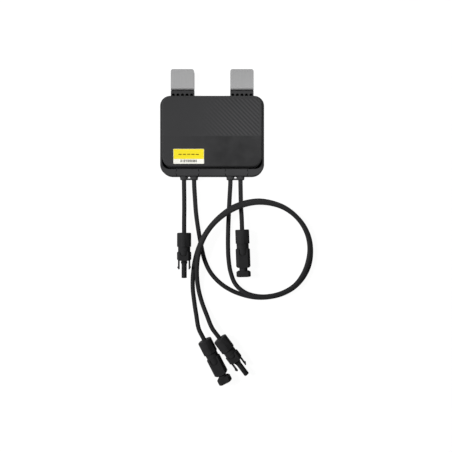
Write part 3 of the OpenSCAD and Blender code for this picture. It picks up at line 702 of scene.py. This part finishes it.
class NodeRecipe:
    """A Geometry Nodes tree with named inputs that turns a start mesh into a finished one."""

    def __init__(self, name: str, sizes: Sequence[str]) -> None:
        """Start the tree with its inputs and output.

        Args:
            name: The tree's name.
            sizes: Names of its number inputs.
        """
        self.tree = bpy.data.node_groups.new(name, "GeometryNodeTree")
        face = self.tree.interface
        face.new_socket("Geometry", in_out="INPUT", socket_type="NodeSocketGeometry")
        kinds = {size: "NodeSocketFloat" for size in sizes} | {"Material": "NodeSocketMaterial"}
        self.places = {}
        for label, kind in kinds.items():
            self.places[label] = face.new_socket(label, in_out="INPUT", socket_type=kind).identifier
        face.new_socket("Geometry", in_out="OUTPUT", socket_type="NodeSocketGeometry")
        self.given = add(self.tree, "NodeGroupInput").outputs

    def close(self, geometry: bpy.types.NodeSocket) -> None:
        """End the tree in real geometry with its material.

        Args:
            geometry: The socket that holds the finished geometry.
        """
        real = add(self.tree, "GeometryNodeRealizeInstances", {"Geometry": geometry}).outputs["Geometry"]
        painted = add(
            self.tree, "GeometryNodeSetMaterial", {"Geometry": real, "Material": self.given["Material"]}
        ).outputs["Geometry"]
        add(self.tree, "NodeGroupOutput", {"Geometry": painted})

    def make(self, start: bpy.types.Mesh, finish: Finish, sizes: dict[str, float]) -> bpy.types.Mesh:
        """Run the tree on a mesh.

        Args:
            start: The mesh that goes in.
            finish: The finish of the result.
            sizes: A value for each number input.

        Returns:
            The mesh that comes out.
        """
        holder = hold(start, self.tree.name)
        modifier = holder.modifiers.new(self.tree.name, "NODES")
        modifier.node_group = self.tree
        for label, value in sizes.items():
            modifier[self.places[label]] = value
        modifier[self.places["Material"]] = finish.material()
        return frozen(holder)


@dataclass(frozen=True)
class Lamp:
    """A square lamp: its place, the point that it faces, its side, its power and how wide its beam is."""

    name: str
    place: Point
    aim: Point
    side: float
    power: float
    spread: float = math.pi

    def build(self) -> None:
        """Add the lamp to the scene."""
        light = bpy.data.lights.new(self.name, "AREA")
        light.size = self.side
        light.energy = self.power
        light.spread = self.spread
        lamp = bpy.data.objects.new(self.name, light)
        lamp.location = self.place
        lamp.rotation_euler = (Vector(self.aim) - Vector(self.place)).to_track_quat("-Z", "Y").to_euler()
        bpy.context.scene.collection.objects.link(lamp)


@dataclass
class Studio:
    """White floor, soft lamps and the camera straight above the middle of the picture."""

    # The photograph's camera: where it is, and its focal length in pixels of a picture of that width
    eye: Point = (18.5 * MM, -119.8 * MM, 608 * MM)
    focal_pixels: float = 447.0
    picture_pixels: float = 452.0
    near_limit: float = 10 * MM
    floor_size: float = 6.0
    floor_gap: float = 0.1 * MM
    # The floor's own colour sets how much light it throws back, and the lift makes it look white
    floor_colour: str = "#606060"
    floor_lift: float = 0.96
    # Strength of the world as a light, and as the white behind the object
    ambient: float = 0.07
    backdrop: float = 0.985
    lamps: tuple[Lamp, ...] = (
        Lamp("key_lamp", place=(-1.1, 0.1, 1.1), aim=(0.0, -0.1, 0.0), side=0.5, power=23.8),
        Lamp(
            "edge_lamp",
            place=(0.6, 0.12, 0.55),
            aim=(0.06, 0.0, 0.014),
            side=0.12,
            power=0.065,
            spread=math.radians(20),
        ),
    )

    def build(self) -> None:
        """Make the camera, the floor, the world and the lamps."""
        scene = bpy.context.scene
        scene.view_settings.view_transform = "Standard"
        camera = bpy.data.objects.new("camera", bpy.data.cameras.new("camera"))
        camera.data.lens = camera.data.sensor_width * self.focal_pixels / self.picture_pixels
        camera.data.clip_start = self.near_limit
        camera.location = self.eye
        scene.collection.objects.link(camera)
        scene.camera = camera
        self.floor()
        self.world()
        for lamp in self.lamps:
            lamp.build()

    def shown_white(self, tree: bpy.types.NodeTree) -> bpy.types.NodeSocket:
        """Tell which rays see a white background.

        Args:
            tree: The node tree of the floor or the world.

        Returns:
            A socket that is 1 for camera, glossy and transmission rays and 0 for others.
        """
        path = add(tree, "ShaderNodeLightPath").outputs
        shown = path["Is Camera Ray"]
        for ray in ("Is Glossy Ray", "Is Transmission Ray"):
            shown = maths(tree, "MAXIMUM", shown, path[ray])
        return shown

    def floor(self) -> None:
        """Make the floor, white to the camera and still dimmed by the object's shadow."""
        half = self.floor_size / 2
        mesh = bpy.data.meshes.new("floor")
        corners = [(-half, -half), (half, -half), (half, half), (-half, half)]
        mesh.from_pydata([(x, y, -self.floor_gap) for x, y in corners], [], [(0, 1, 2, 3)])
        material = bpy.data.materials.new("matte_white_paper")
        material.use_nodes = True
        tree = material.node_tree
        tree.nodes.clear()
        paper = add(tree, "ShaderNodeBsdfDiffuse", {"Color": linear(self.floor_colour)}).outputs["BSDF"]
        lift = maths(tree, "MULTIPLY", self.shown_white(tree), self.floor_lift)
        glow = add(tree, "ShaderNodeEmission", {"Strength": lift}).outputs["Emission"]
        both = add(tree, "ShaderNodeAddShader", {0: paper, 1: glow}).outputs["Shader"]
        add(tree, "ShaderNodeOutputMaterial", {"Surface": both})
        mesh.materials.append(material)
        hold(mesh, "floor")

    def world(self) -> None:
        """Make the world: white behind the object, and an even dim light on it."""
        world = bpy.data.worlds.new("studio")
        bpy.context.scene.world = world
        world.use_nodes = True
        tree = world.node_tree
        tree.nodes.clear()
        levels = {"Value": self.shown_white(tree), "To Min": self.ambient, "To Max": self.backdrop}
        strength = add(tree, "ShaderNodeMapRange", levels).outputs["Result"]
        sky = add(tree, "ShaderNodeBackground", {"Color": linear("#ffffff"), "Strength": strength})
        add(tree, "ShaderNodeOutputWorld", {"Surface": sky.outputs["Background"]})


class PlugKind(Enum):
    """The two kinds of plug."""

    SOCKET = "socket"
    PIN = "pin"


@dataclass
class Plug:
    """A plug on the end of a lead: nut, cable seal, housing, contact and, on a socket, its ring seal."""

    name: str
    kind: PlugKind
    place: tuple[float, float]
    heading: float
    axis_height: float = 9.8 * MM
    edge: float = 0.35 * MM
    # The thumb scoops, from the nut's rear end and from the axis, and the grips in them
    scoop_start: float = 24.8 * MM
    scoop_floor: float = 6.4 * MM
    socket_grip: float = 6 * MM
    pin_grip: float = 10 * MM
    grip_width: float = 8.8 * MM
    grip_rise: float = 1.5 * MM
    grip_root: float = 0.2 * MM
    grip_rows: int = 14
    grip_columns: int = 12

    def point(self, distance: float) -> Vector:
        """Point on the plug's axis.

        Args:
            distance: How far in front of the nut's rear end it is.

        Returns:
            The point.
        """
        turn = math.radians(self.heading)
        x, y = self.place
        return Vector((x + distance * math.sin(turn), y - distance * math.cos(turn), self.axis_height))

    def grip(self, side: int) -> bpy.types.Mesh:
        """Make the grip in a thumb scoop: an arch that carries on the waist's curve and ends round.

        Args:
            side: 1 for the scoop above and -1 for the one below.

        Returns:
            The grip's mesh.
        """
        length = self.pin_grip if self.kind is PlugKind.PIN else self.socket_grip
        turn = math.radians(self.heading)
        across = Vector((math.cos(turn), math.sin(turn), 0))
        up = Vector((0, 0, side))
        shape = bmesh.new()
        rings = []
        for row in range(self.grip_rows):
            along = row / self.grip_rows
            # Straight sides first, and then a round end
            taper = math.sqrt(1 - along**4)
            middle = self.point(self.scoop_start + along * length) + up * self.scoop_floor
            arch = [2 * column / self.grip_columns - 1 for column in range(self.grip_columns + 1)]
            outline = [(place, self.grip_rise * taper * (1 - place * place)) for place in arch]
            outline += [(1.0, -self.grip_root), (-1.0, -self.grip_root)]
            half = self.grip_width / 2 * taper
            points = [middle + across * half * place + up * rise for place, rise in outline]
            rings.append([shape.verts.new(point) for point in points])
        for ring, other in zip(rings, rings[1:]):
            for k in range(len(ring)):
                n = (k + 1) % len(ring)
                shape.faces.new((ring[k], ring[n], other[n], other[k]))
        shape.faces.new(rings[0])
        shape.faces.new(rings[-1])
        bmesh.ops.recalc_face_normals(shape, faces=shape.faces)
        return to_mesh(shape, self.name + "_grip")

    def build(self) -> list[bpy.types.Object]:
        """Make and dress the plug's pieces.

        Returns:
            The plug's pieces.
        """
        shell = f"{self.name}_{self.kind.value}_housing"
        nut = self.name + "_nut"
        pieces = [
            add_piece(nut + "_cap", softened(nut, self.edge), PLUG_NYLON, [nut]),
            add_piece(shell + "_shell", softened(shell, self.edge), PLUG_NYLON, [shell]),
        ]
        for label, side in (("upper", 1), ("lower", -1)):
            name = f"{self.name}_{label}_grip"
            pieces.append(add_piece(name, self.grip(side), PLUG_NYLON))
        dressed = {"seal": SEAL_RUBBER, "contact": TINNED}
        if self.kind is PlugKind.SOCKET:
            dressed["ring"] = SEAL_RUBBER
        for part, finish in dressed.items():
            dress_node(f"{self.name}_{part}", finish)
            pieces.append(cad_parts[f"{self.name}_{part}"])
        return pieces


@dataclass
class Lead:
    """A jacketed lead from its gland nozzle to its plug."""

    node: str
    exit_x: float
    route: Sequence[Point]
    plug: Plug
    diameter: float = LEAD_DIAMETER
    gland_height: float = 6.4 * MM
    # Along Y: the jacket's end in the gland, the nozzle's tip and the straight run after it
    jacket_end: float = -47.2 * MM
    nozzle_tip: float = -57.9 * MM
    nozzle_run: float = 2 * MM
    # Distances along the plug's axis, from its nut's rear end: two points before it and one inside
    plug_run: float = 15 * MM
    plug_entry: float = 4 * MM
    plug_depth: float = 10.85 * MM
    # Faces around the jacket, and the distance between its rings
    sides: int = 20
    step: float = 2.5 * MM

    def knots(self) -> list[Vector]:
        """Points that the lead passes through, in metres.

        Returns:
            The knots from inside the gland to inside the plug.
        """
        stem = [self.jacket_end, self.nozzle_tip, self.nozzle_tip - self.nozzle_run]
        start = [Vector((self.exit_x, y, self.gland_height)) for y in stem]
        middle = [Vector(point) * MM for point in self.route]
        end = [self.plug.point(s) for s in (-self.plug_run, -self.plug_entry, self.plug_depth)]
        return start + middle + end

    def line(self) -> list[Vector]:
        """Smooth centreline through the knots.

        Returns:
            Points about a step apart.
        """
        knots = self.knots()
        spans = [(b - a).length for a, b in zip(knots, knots[1:])]
        slopes = [(b - a) / span for a, b, span in zip(knots, knots[1:], spans)]
        tangents = [slopes[0]]
        for before, after, d0, d1 in zip(slopes, slopes[1:], spans, spans[1:]):
            tangents.append((before * d1 + after * d0) / (d0 + d1))
        tangents.append(slopes[-1])
        points = [knots[0]]
        for i, span in enumerate(spans):
            count = max(2, round(span / self.step))
            for k in range(1, count + 1):
                t = k / count
                points.append(
                    knots[i] * (1 - t) ** 2 * (1 + 2 * t)
                    + tangents[i] * span * t * (1 - t) ** 2
                    + knots[i + 1] * t * t * (3 - 2 * t)
                    - tangents[i + 1] * span * t * t * (1 - t)
                )
        return points

    def tube(self, line: Sequence[Vector]) -> bpy.types.Mesh:
        """Sweep the jacket along the centreline, with a UV map once round and metres along.

        Args:
            line: The centreline.

        Returns:
            The jacket's mesh.
        """
        shape = bmesh.new()
        unrolled = shape.loops.layers.uv.new("UVMap")
        up = Vector((0, 0, 1))
        rings, travelled = [], [0.0]
        for i, centre in enumerate(line):
            ahead = line[min(i + 1, len(line) - 1)] - line[max(i - 1, 0)]
            side = ahead.cross(up).normalized()
            lift = side.cross(ahead).normalized()
            turns = [2 * math.pi * k / self.sides for k in range(self.sides)]
            ring = [centre + (side * math.cos(a) + lift * math.sin(a)) * self.diameter / 2 for a in turns]
            rings.append([shape.verts.new(point) for point in ring])
            if i:
                travelled.append(travelled[-1] + (centre - line[i - 1]).length)
        for i, (ring, other) in enumerate(zip(rings, rings[1:])):
            for k in range(self.sides):
                n = (k + 1) % self.sides
                face = shape.faces.new((ring[k], ring[n], other[n], other[k]))
                for loop, (u, v) in zip(face.loops, ((k, i), (k + 1, i), (k + 1, i + 1), (k, i + 1))):
                    loop[unrolled].uv = (u / self.sides, travelled[v])
        shape.faces.new(reversed(rings[0]))
        shape.faces.new(rings[-1])
        bmesh.ops.recalc_face_normals(shape, faces=shape.faces)
        return to_mesh(shape, self.node)

    def build(self) -> None:
        line = self.line()
        piece = add_piece(self.node + "_jacket", self.tube(line), JACKET, [self.node])
        self.plug.build()


# Points in millimetres that the leads pass between gland and plug
SHORT_LEFT_ROUTE = [(-37.8, -78.5, 6), (-37.6, -97.5, 7)]
SHORT_RIGHT_ROUTE = [(38.3, -76.5, 5), (38.7, -93.5, 4.8)]
LONG_LEFT_ROUTE = [
    (-23.5, -80.5, 4.8), (-22, -102.5, 3.2), (-19, -124.5, 3), (-15, -146.5, 3), (-10.5, -165.5, 3),
    (-2.5, -182.5, 3),
    (10, -196.5, 3), (25, -206.5, 3), (41.5, -213, 3), (59, -216.5, 3), (77, -216, 3), (95, -211.5, 3),
    (111, -202.5, 3), (123, -189.5, 3), (131, -173, 3), (133.5, -155, 3), (131.5, -137, 3),
    (124.5, -120.5, 3.2), (113, -106.5, 4.2), (98, -95.2, 6.3), (81, -88.7, 8.8), (63, -85.9, 10.7),
    (45, -88.2, 11.4), (28, -94.3, 11), (12.5, -105, 10.2), (-0.5, -118, 9.7), (-11, -133, 9.7),
    (-18.5, -149.5, 9.2), (-23.5, -167, 6.4), (-26, -185, 3.8), (-26.5, -203.5, 3), (-24.5, -221.5, 3.6),
    (-21.5, -239.5, 6.6),
]  # fmt: skip
LONG_RIGHT_ROUTE = [
    (23.4, -80.5, 4.8), (22.3, -102.5, 3.2), (21.4, -125.5, 3), (21.2, -146.5, 3), (22, -165, 3),
    (24.8, -182.5, 3.6),
    (31.5, -198.5, 5.6), (44, -209, 8.2), (61, -214, 8.8), (79, -213.5, 8.9), (96, -208.5, 8.9),
    (111, -199, 8.9), (121.5, -185, 8.9), (128, -168.5, 8.9), (130.5, -151, 8.9), (128, -133.5, 9.2),
    (120.5, -117.5, 9.9), (109, -104.5, 11.4), (94, -95, 13.6), (77, -90, 15.9), (59.5, -89, 17.4),
    (42, -92.3, 17.8), (25.5, -99.3, 17.3), (11, -109, 16.5), (-1.5, -121.5, 16), (-11, -136.5, 15.9),
    (-17, -153, 14.8), (-20, -170.5, 11.2), (-20.5, -188.5, 7), (-18.5, -206, 4), (-14, -223, 3.4),
    (-7.5, -239.5, 6.2),
]  # fmt: skip


@dataclass
class Wiring:
    """The four leads with their plugs."""

    outer_exit: float = 38.0 * MM
    inner_exit: float = 24.4 * MM

    def build(self) -> None:
        """Make the leads in order from left to right."""
        socket, pin = PlugKind.SOCKET, PlugKind.PIN
        short_left = Plug("short_left", socket, (-37.5 * MM, -128.8 * MM), heading=0)
        short_right = Plug("short_right", pin, (40 * MM, -124.6 * MM), heading=2)
        long_left = Plug("long_left", pin, (-10.5 * MM, -272.5 * MM), heading=27)
        long_right = Plug("long_right", socket, (10 * MM, -270.2 * MM), heading=37)
        leads = [
            Lead("short_lead_left", -self.outer_exit, SHORT_LEFT_ROUTE, short_left),
            Lead("long_lead_left", -self.inner_exit, LONG_LEFT_ROUTE, long_left),
            Lead("long_lead_right", self.inner_exit, LONG_RIGHT_ROUTE, long_right),
            Lead("short_lead_right", self.outer_exit, SHORT_RIGHT_ROUTE, short_right),
        ]
        for lead in leads:
            lead.build()


@dataclass
class Housing:
    """The moulded tray with its entry bar and clip tabs, the two gland blocks and the cover's seal."""

    edge: float = 0.4 * MM

    def build(self) -> None:
        """Make and dress the housing's pieces."""
        pieces = {"base_shell": "housing_tray"}
        for side in ("left", "right"):
            pieces["gland_" + side] = f"gland_{side}_block"
        for node, name in pieces.items():
            add_piece(name, softened(node, self.edge), HOUSING_NYLON, [node])
        dress_node("cover_seal", SEAL_RUBBER)


@dataclass
class SpringClips:
    """The two bent steel clips that grip the frame of a panel."""

    edge: float = 0.25 * MM

    def build(self) -> None:
        """Make and dress both clips."""
        for side in ("left", "right"):
            node = "clip_" + side
            add_piece(node + "_strip", softened(node, self.edge), SPRING_STEEL, [node])


@dataclass
class Cover:
    """The raised front cover with its field of diagonal flutes."""

    # Sizes of the shell, as in the CAD model
    top_corner: float = 10.4 * MM
    foot_corner: float = 13.5 * MM
    draft: float = 0.6 * MM
    edge: float = 1.8 * MM
    crease: float = CREASE_Y
    drop: float = 1.2 * MM
    front: float = 2.2 * MM
    skirt: float = 9.6 * MM
    lip_inset: float = 1.55 * MM
    wall: float = 2.55 * MM
    # Steps of the mesh across the front, along it, round its corners and round its edge
    columns: int = 200
    middle_rows: int = 120
    arc_rows: int = 14
    edge_steps: int = 7
    # The flutes: their size, the plain border, where along X they start and are full, and their soft ends
    flute_pitch: float = 4 * MM
    flute_depth: float = 0.2 * MM
    flute_border: float = 0.6 * MM
    flute_start: float = -14 * MM
    flute_full: float = 30 * MM
    flute_end: float = 1.6 * MM
    # Only points within this of the front's highest level are pressed in
    front_skin: float = 0.01 * MM
    # Extents that are read from the CAD node
    half_x: float = field(init=False)
    y0: float = field(init=False)
    y1: float = field(init=False)
    lip_z: float = field(init=False)
    front_z: float = field(init=False)
    inset: float = field(init=False)

    def __post_init__(self) -> None:
        """Read the cover's extents from the CAD node."""
        low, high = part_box("front_cover")
        self.half_x, self.y0, self.y1 = high[0], low[1], high[1]
        self.lip_z, self.front_z = low[2], high[2]
        self.inset = self.draft + self.edge

    def rows(self) -> list[FrontRow]:
        """Work out the rows of the front face.

        Returns:
            The rows, from the lead side to the clip side.
        """
        low, high = self.y0 + self.inset, self.y1 - self.inset
        width = self.half_x - self.inset
        angles = [math.pi / 2 * k / self.arc_rows for k in range(self.arc_rows + 1)]
        foot, top = self.foot_corner - self.inset, self.top_corner - self.inset
        lower, upper = [], []
        for a in angles:
            over, up = 1 - math.sin(a), 1 - math.cos(a)
            lower.append((low + foot * up, width - foot * over, Vector((math.sin(a), -math.cos(a)))))
            upper.append((high - top * up, width - top * over, Vector((math.sin(a), math.cos(a)))))
        run = high - low - foot - top
        steps = [low + foot + run * k / self.middle_rows for k in range(1, self.middle_rows)]
        middle = [(y, width, Vector((1, 0))) for y in steps]
        return lower + middle + upper[::-1]

    def slope(self, y: float) -> float:
        """How far the front lies below its highest level.

        Args:
            y: Place along the housing.

        Returns:
            The drop there.
        """
        run = self.crease - self.y0 - self.inset
        return self.drop * max(0.0, min(1.0, (self.crease - y) / run))

    def shell(self) -> bpy.types.Mesh:
        """Model the cover as a closed shell with an even grid on its front.

        Returns:
            The cover's mesh, still without flutes.
        """
        shape = bmesh.new()
        rows = self.rows()
        grid = [
            [
                shape.verts.new((half * (2 * k / self.columns - 1), y, self.front_z - self.slope(y)))
                for k in range(self.columns + 1)
            ]
            for y, half, _ in rows
        ]
        for lower, upper in zip(grid, grid[1:]):
            for k in range(self.columns):
                shape.faces.new((lower[k], lower[k + 1], upper[k + 1], upper[k]))
        rim = self.rim(grid, rows)
        ring = [vert for vert, _ in rim]
        for inset, z, sloped in self.levels():
            following = []
            for vert, out in rim:
                x, y = vert.co.xy + out * (self.inset - inset)
                following.append(shape.verts.new((x, y, z - (self.slope(vert.co.y) if sloped else 0))))
            for k, vert in enumerate(ring):
                n = (k + 1) % len(ring)
                shape.faces.new((ring[n], vert, following[k], following[n]))
            ring = following
        self.inner_front(shape, ring, len(rows))
        return to_mesh(shape, "cover_shell")

    def rim(
        self, grid: Sequence[Sequence[bmesh.types.BMVert]], rows: Sequence[FrontRow]
    ) -> list[tuple[bmesh.types.BMVert, Vector]]:
        """Go once round the front's outline, from the left end of its first row.

        Args:
            grid: The front's vertices, row by row.
            rows: The rows that they stand in.

        Returns:
            Each vertex of the outline with the outward direction there.
        """
        down, up = Vector((0, -1)), Vector((0, 1))
        rim = [(vert, down) for vert in grid[0][:-1]]
        rim += [(row[-1], out) for row, (_, _, out) in zip(grid[:-1], rows)]
        rim += [(vert, up) for vert in reversed(grid[-1][1:])]
        left_ends = list(zip(grid[1:], rows[1:]))
        rim += [(row[0], Vector((-out.x, out.y))) for row, (_, _, out) in reversed(left_ends)]
        return rim

    def levels(self) -> list[tuple[float, float, bool]]:
        """List the rings below the front's outline: down the outside, round the lip and up the inside.

        Returns:
            For each ring its inset, its Z and whether it follows the front's slope.
        """
        levels = []
        for k in range(1, self.edge_steps + 1):
            a = math.pi / 2 * (1 - k / self.edge_steps)
            inset = self.draft + self.edge * (1 - math.cos(a))
            levels.append((inset, self.front_z - self.edge * (1 - math.sin(a)), True))
        return levels + [
            (0.0, self.skirt, False),
            (self.lip_inset, self.skirt, False),
            (self.lip_inset, self.lip_z, False),
            (self.wall, self.lip_z, False),
            (self.wall, self.skirt, False),
            (self.wall + self.draft, self.front_z - self.front, True),
        ]

    def inner_front(
        self, shape: bmesh.types.BMesh, ring: Sequence[bmesh.types.BMVert], count: int
    ) -> None:
        """Close the hollow with strips from side to side.

        Args:
            shape: The bmesh.
            ring: The last ring of the hollow.
            count: Number of rows of the front.
        """
        right = ring[self.columns : self.columns + count]
        left = [ring[0]] + list(reversed(ring[2 * self.columns + count - 1 :]))
        first = list(ring[: self.columns + 1])
        last = list(ring[self.columns + count - 1 : 2 * self.columns + count])
        shape.faces.new([left[1], right[1]] + list(reversed(first)))
        for k in range(1, count - 2):
            shape.faces.new((left[k], left[k + 1], right[k + 1], right[k]))
        shape.faces.new([right[count - 2], left[count - 2]] + list(reversed(last)))

    def flutes(self) -> NodeRecipe:
        """Write the rule that presses diagonal flutes into the upper field, deeper towards one side.

        Returns:
            The Geometry Nodes tree.
        """
        limits = ["Start", "Full", "Right", "Lower", "Upper", "Level", "End"]
        recipe = NodeRecipe("cover_flutes", ["Pitch", "Depth"] + limits)
        tree, given = recipe.tree, recipe.given
        place = add(tree, "GeometryNodeInputPosition").outputs["Position"]
        split = add(tree, "ShaderNodeSeparateXYZ", {"Vector": place}).outputs
        x, y, z = (split[axis] for axis in "XYZ")
        pitch = maths(tree, "MULTIPLY", given["Pitch"], math.sqrt(2))
        across = maths(tree, "DIVIDE", maths(tree, "ADD", x, y), pitch)
        wave = maths(tree, "COSINE", maths(tree, "MULTIPLY", across, 2 * math.pi))
        height = maths(tree, "MULTIPLY_ADD", wave, 0.5, 0.5)
        fade = {"Value": x, "From Min": given["Start"], "From Max": given["Full"]}
        strength = add(tree, "ShaderNodeMapRange", fade).outputs["Result"]
        inside = [
            maths(tree, "SUBTRACT", given["Right"], x),
            maths(tree, "SUBTRACT", y, given["Lower"]),
            maths(tree, "SUBTRACT", given["Upper"], y),
        ]
        for distance in inside:
            border = add(
                tree,
                "ShaderNodeMapRange",
                {"Value": distance, "From Min": 0.0, "From Max": given["End"]},
                interpolation_type="SMOOTHSTEP",
            ).outputs["Result"]
            strength = maths(tree, "MULTIPLY", strength, border)
        strength = maths(tree, "MULTIPLY", strength, maths(tree, "GREATER_THAN", z, given["Level"]))
        geometry = given["Geometry"]
        for name, value in ((FLUTE_HEIGHT, height), (FLUTE_STRENGTH, strength)):
            stored = {"Geometry": geometry, "Name": name, "Value": value}
            geometry = add(tree, "GeometryNodeStoreNamedAttribute", stored).outputs["Geometry"]
        low = maths(tree, "MULTIPLY", maths(tree, "SUBTRACT", height, 1.0), strength)
        offset = add(tree, "ShaderNodeCombineXYZ", {"Z": maths(tree, "MULTIPLY", low, given["Depth"])})
        moved = {"Geometry": geometry, "Offset": offset.outputs["Vector"]}
        recipe.close(add(tree, "GeometryNodeSetPosition", moved).outputs["Geometry"])
        return recipe

    def build(self) -> None:
        """Make and dress the cover."""
        sizes = {
            "Pitch": self.flute_pitch,
            "Depth": self.flute_depth,
            "Start": self.flute_start,
            "Full": self.flute_full,
            "Right": self.half_x - self.inset - self.flute_border,
            "Lower": self.crease,
            "Upper": self.y1 - self.inset - self.flute_border,
            "Level": self.front_z - self.front_skin,
            "End": self.flute_end,
        }
        mesh = self.flutes().make(self.shell(), COVER_NYLON, sizes)
        add_piece("front_cover_shell", mesh, COVER_NYLON, ["front_cover"])


@dataclass(frozen=True)
class BarRow:
    """A row of plain upright bars printed on the label, in the label's own plane."""

    name: str
    finish: Finish
    count: int
    middle: tuple[float, float]
    length: float
    bar_width: float
    bar_height: float
    spread: float = 0.0


@dataclass
class Label:
    """The film label on the lower half of the cover: a yellow field on white, with plain printed bars."""

    cover: Cover
    thickness: float = 0.2 * MM
    corner: float = 1 * MM
    corner_steps: int = 6
    ink: float = 0.02 * MM
    seed: int = 7
    rows: tuple[BarRow, ...] = (
        BarRow(
            "label_upper_bars",
            OCHRE_INK,
            count=5,
            middle=(0, 2.6 * MM),
            length=22.5 * MM,
            bar_width=4.2 * MM,
            bar_height=1.3 * MM,
        ),
        BarRow(
            "label_lower_bars",
            BLACK_INK,
            count=19,
            middle=(0, -6 * MM),
            length=20.6 * MM,
            bar_width=0.62 * MM,
            bar_height=3.4 * MM,
            spread=0.55,
        ),
    )
    width: float = field(init=False)
    height: float = field(init=False)
    onto_cover: Matrix = field(init=False)

    def __post_init__(self) -> None:
        """Take the label's size from its CAD node and lay it on the cover's slope."""
        low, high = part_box("label")
        cover = self.cover
        slope = math.atan(cover.drop / (cover.crease - cover.y0 - cover.inset))
        self.width = high[0] - low[0]
        self.height = (high[1] - low[1] - self.thickness * math.sin(slope)) / math.cos(slope)
        middle = ((low[0] + high[0]) / 2, (low[1] + high[1]) / 2)
        level = cover.front_z - cover.slope(middle[1])
        self.onto_cover = Matrix.Translation((*middle, level)) @ Matrix.Rotation(slope, 4, "X")

    def film(self) -> bpy.types.Mesh:
        """Model the film with rounded corners and a UV map over its face.

        Returns:
            The film's mesh in its own plane.
        """
        shape = bmesh.new()
        face_map = shape.loops.layers.uv.new("UVMap")
        outline = []
        for quarter, (sx, sy) in enumerate(((1, 1), (-1, 1), (-1, -1), (1, -1))):
            for k in range(self.corner_steps + 1):
                a = math.pi / 2 * (quarter + k / self.corner_steps)
                x = sx * (self.width / 2 - self.corner) + self.corner * math.cos(a)
                outline.append((x, sy * (self.height / 2 - self.corner) + self.corner * math.sin(a)))
        lower = [shape.verts.new((x, y, 0)) for x, y in outline]
        upper = [shape.verts.new((x, y, self.thickness)) for x, y in outline]
        shape.faces.new(upper)
        shape.faces.new(reversed(lower))
        for k in range(len(outline)):
            n = (k + 1) % len(outline)
            shape.faces.new((lower[k], lower[n], upper[n], upper[k]))
        for face in shape.faces:
            for loop in face.loops:
                x, y = loop.vert.co.xy
                loop[face_map].uv = (x / self.width + 0.5, y / self.height + 0.5)
        return to_mesh(shape, "label")

    def bars(self) -> NodeRecipe:
        """Write the rule that prints a row of bars, each of its own width.

        Returns:
            The Geometry Nodes tree.
        """
        recipe = NodeRecipe("printed_bars", ["Count", "Length", "Width", "Height", "Spread", "Ink"])
        tree, given = recipe.tree, recipe.given
        half = maths(tree, "MULTIPLY", given["Length"], -0.5)
        start = add(tree, "ShaderNodeCombineXYZ", {"X": half}).outputs["Vector"]
        gap = maths(tree, "DIVIDE", given["Length"], maths(tree, "SUBTRACT", given["Count"], 1.0))
        step = add(tree, "ShaderNodeCombineXYZ", {"X": gap}).outputs["Vector"]
        line = add(
            tree,
            "GeometryNodeMeshLine",
            {"Count": given["Count"], "Start Location": start, "Offset": step},
        )
        narrow = maths(tree, "SUBTRACT", 1.0, given["Spread"])
        wide = maths(tree, "ADD", 1.0, given["Spread"])
        limits = {RANDOM_LOW: narrow, RANDOM_HIGH: wide, "Seed": self.seed}
        share = add(tree, "FunctionNodeRandomValue", limits, data_type="FLOAT").outputs[RANDOM_RESULT]
        width = maths(tree, "MULTIPLY", given["Width"], share)
        size = add(tree, "ShaderNodeCombineXYZ", {"X": width, "Y": given["Height"], "Z": given["Ink"]})
        placed = add(
            tree,
            "GeometryNodeInstanceOnPoints",
            {
                "Points": line.outputs["Mesh"],
                "Instance": add(tree, "GeometryNodeMeshCube").outputs["Mesh"],
                "Scale": size.outputs["Vector"],
            },
        )
        recipe.close(placed.outputs["Instances"])
        return recipe

    def build(self) -> None:
        """Make and dress the label and its print."""
        film = self.film()
        film.transform(self.onto_cover)
        add_piece("label_film", film, LABEL_FILM, ["label"])
        recipe = self.bars()
        for row in self.rows:
            sizes = {
                "Count": float(row.count),
                "Length": row.length,
                "Width": row.bar_width,
                "Height": row.bar_height,
                "Spread": row.spread,
                "Ink": self.ink,
            }
            mesh = recipe.make(bpy.data.meshes.new(row.name), row.finish, sizes)
            place = Matrix.Translation((*row.middle, self.thickness + self.ink / 2))
            mesh.transform(self.onto_cover @ place)
            add_piece(row.name, mesh, row.finish)


@dataclass
class Electronics:
    """What the housing holds: the board with its parts, and the ends of the leads."""

    finishes: tuple[tuple[str, Finish], ...] = (
        ("circuit_board", BOARD),
        ("power_inductor", FERRITE),
        ("film_capacitors", CAPACITOR_CASE),
        ("power_transistors", CHIP_EPOXY),
        ("control_chip", CHIP_EPOXY),
        ("solder_lugs", COPPER),
        ("lead_cores", COPPER),
    )

    def build(self) -> None:
        """Dress the CAD nodes inside the housing."""
        for node, finish in self.finishes:
            dress_node(node, finish)


def main() -> None:
    """Build the scene: camera and cords first, then the housing and what it carries."""
    logging.basicConfig(level=logging.INFO, format="%(name)s: %(message)s")
    Studio().build()
    Wiring().build()
    Housing().build()
    SpringClips().build()
    cover = Cover()
    cover.build()
    Label(cover).build()
    Electronics().build()


if __name__ == "__main__":
    main()
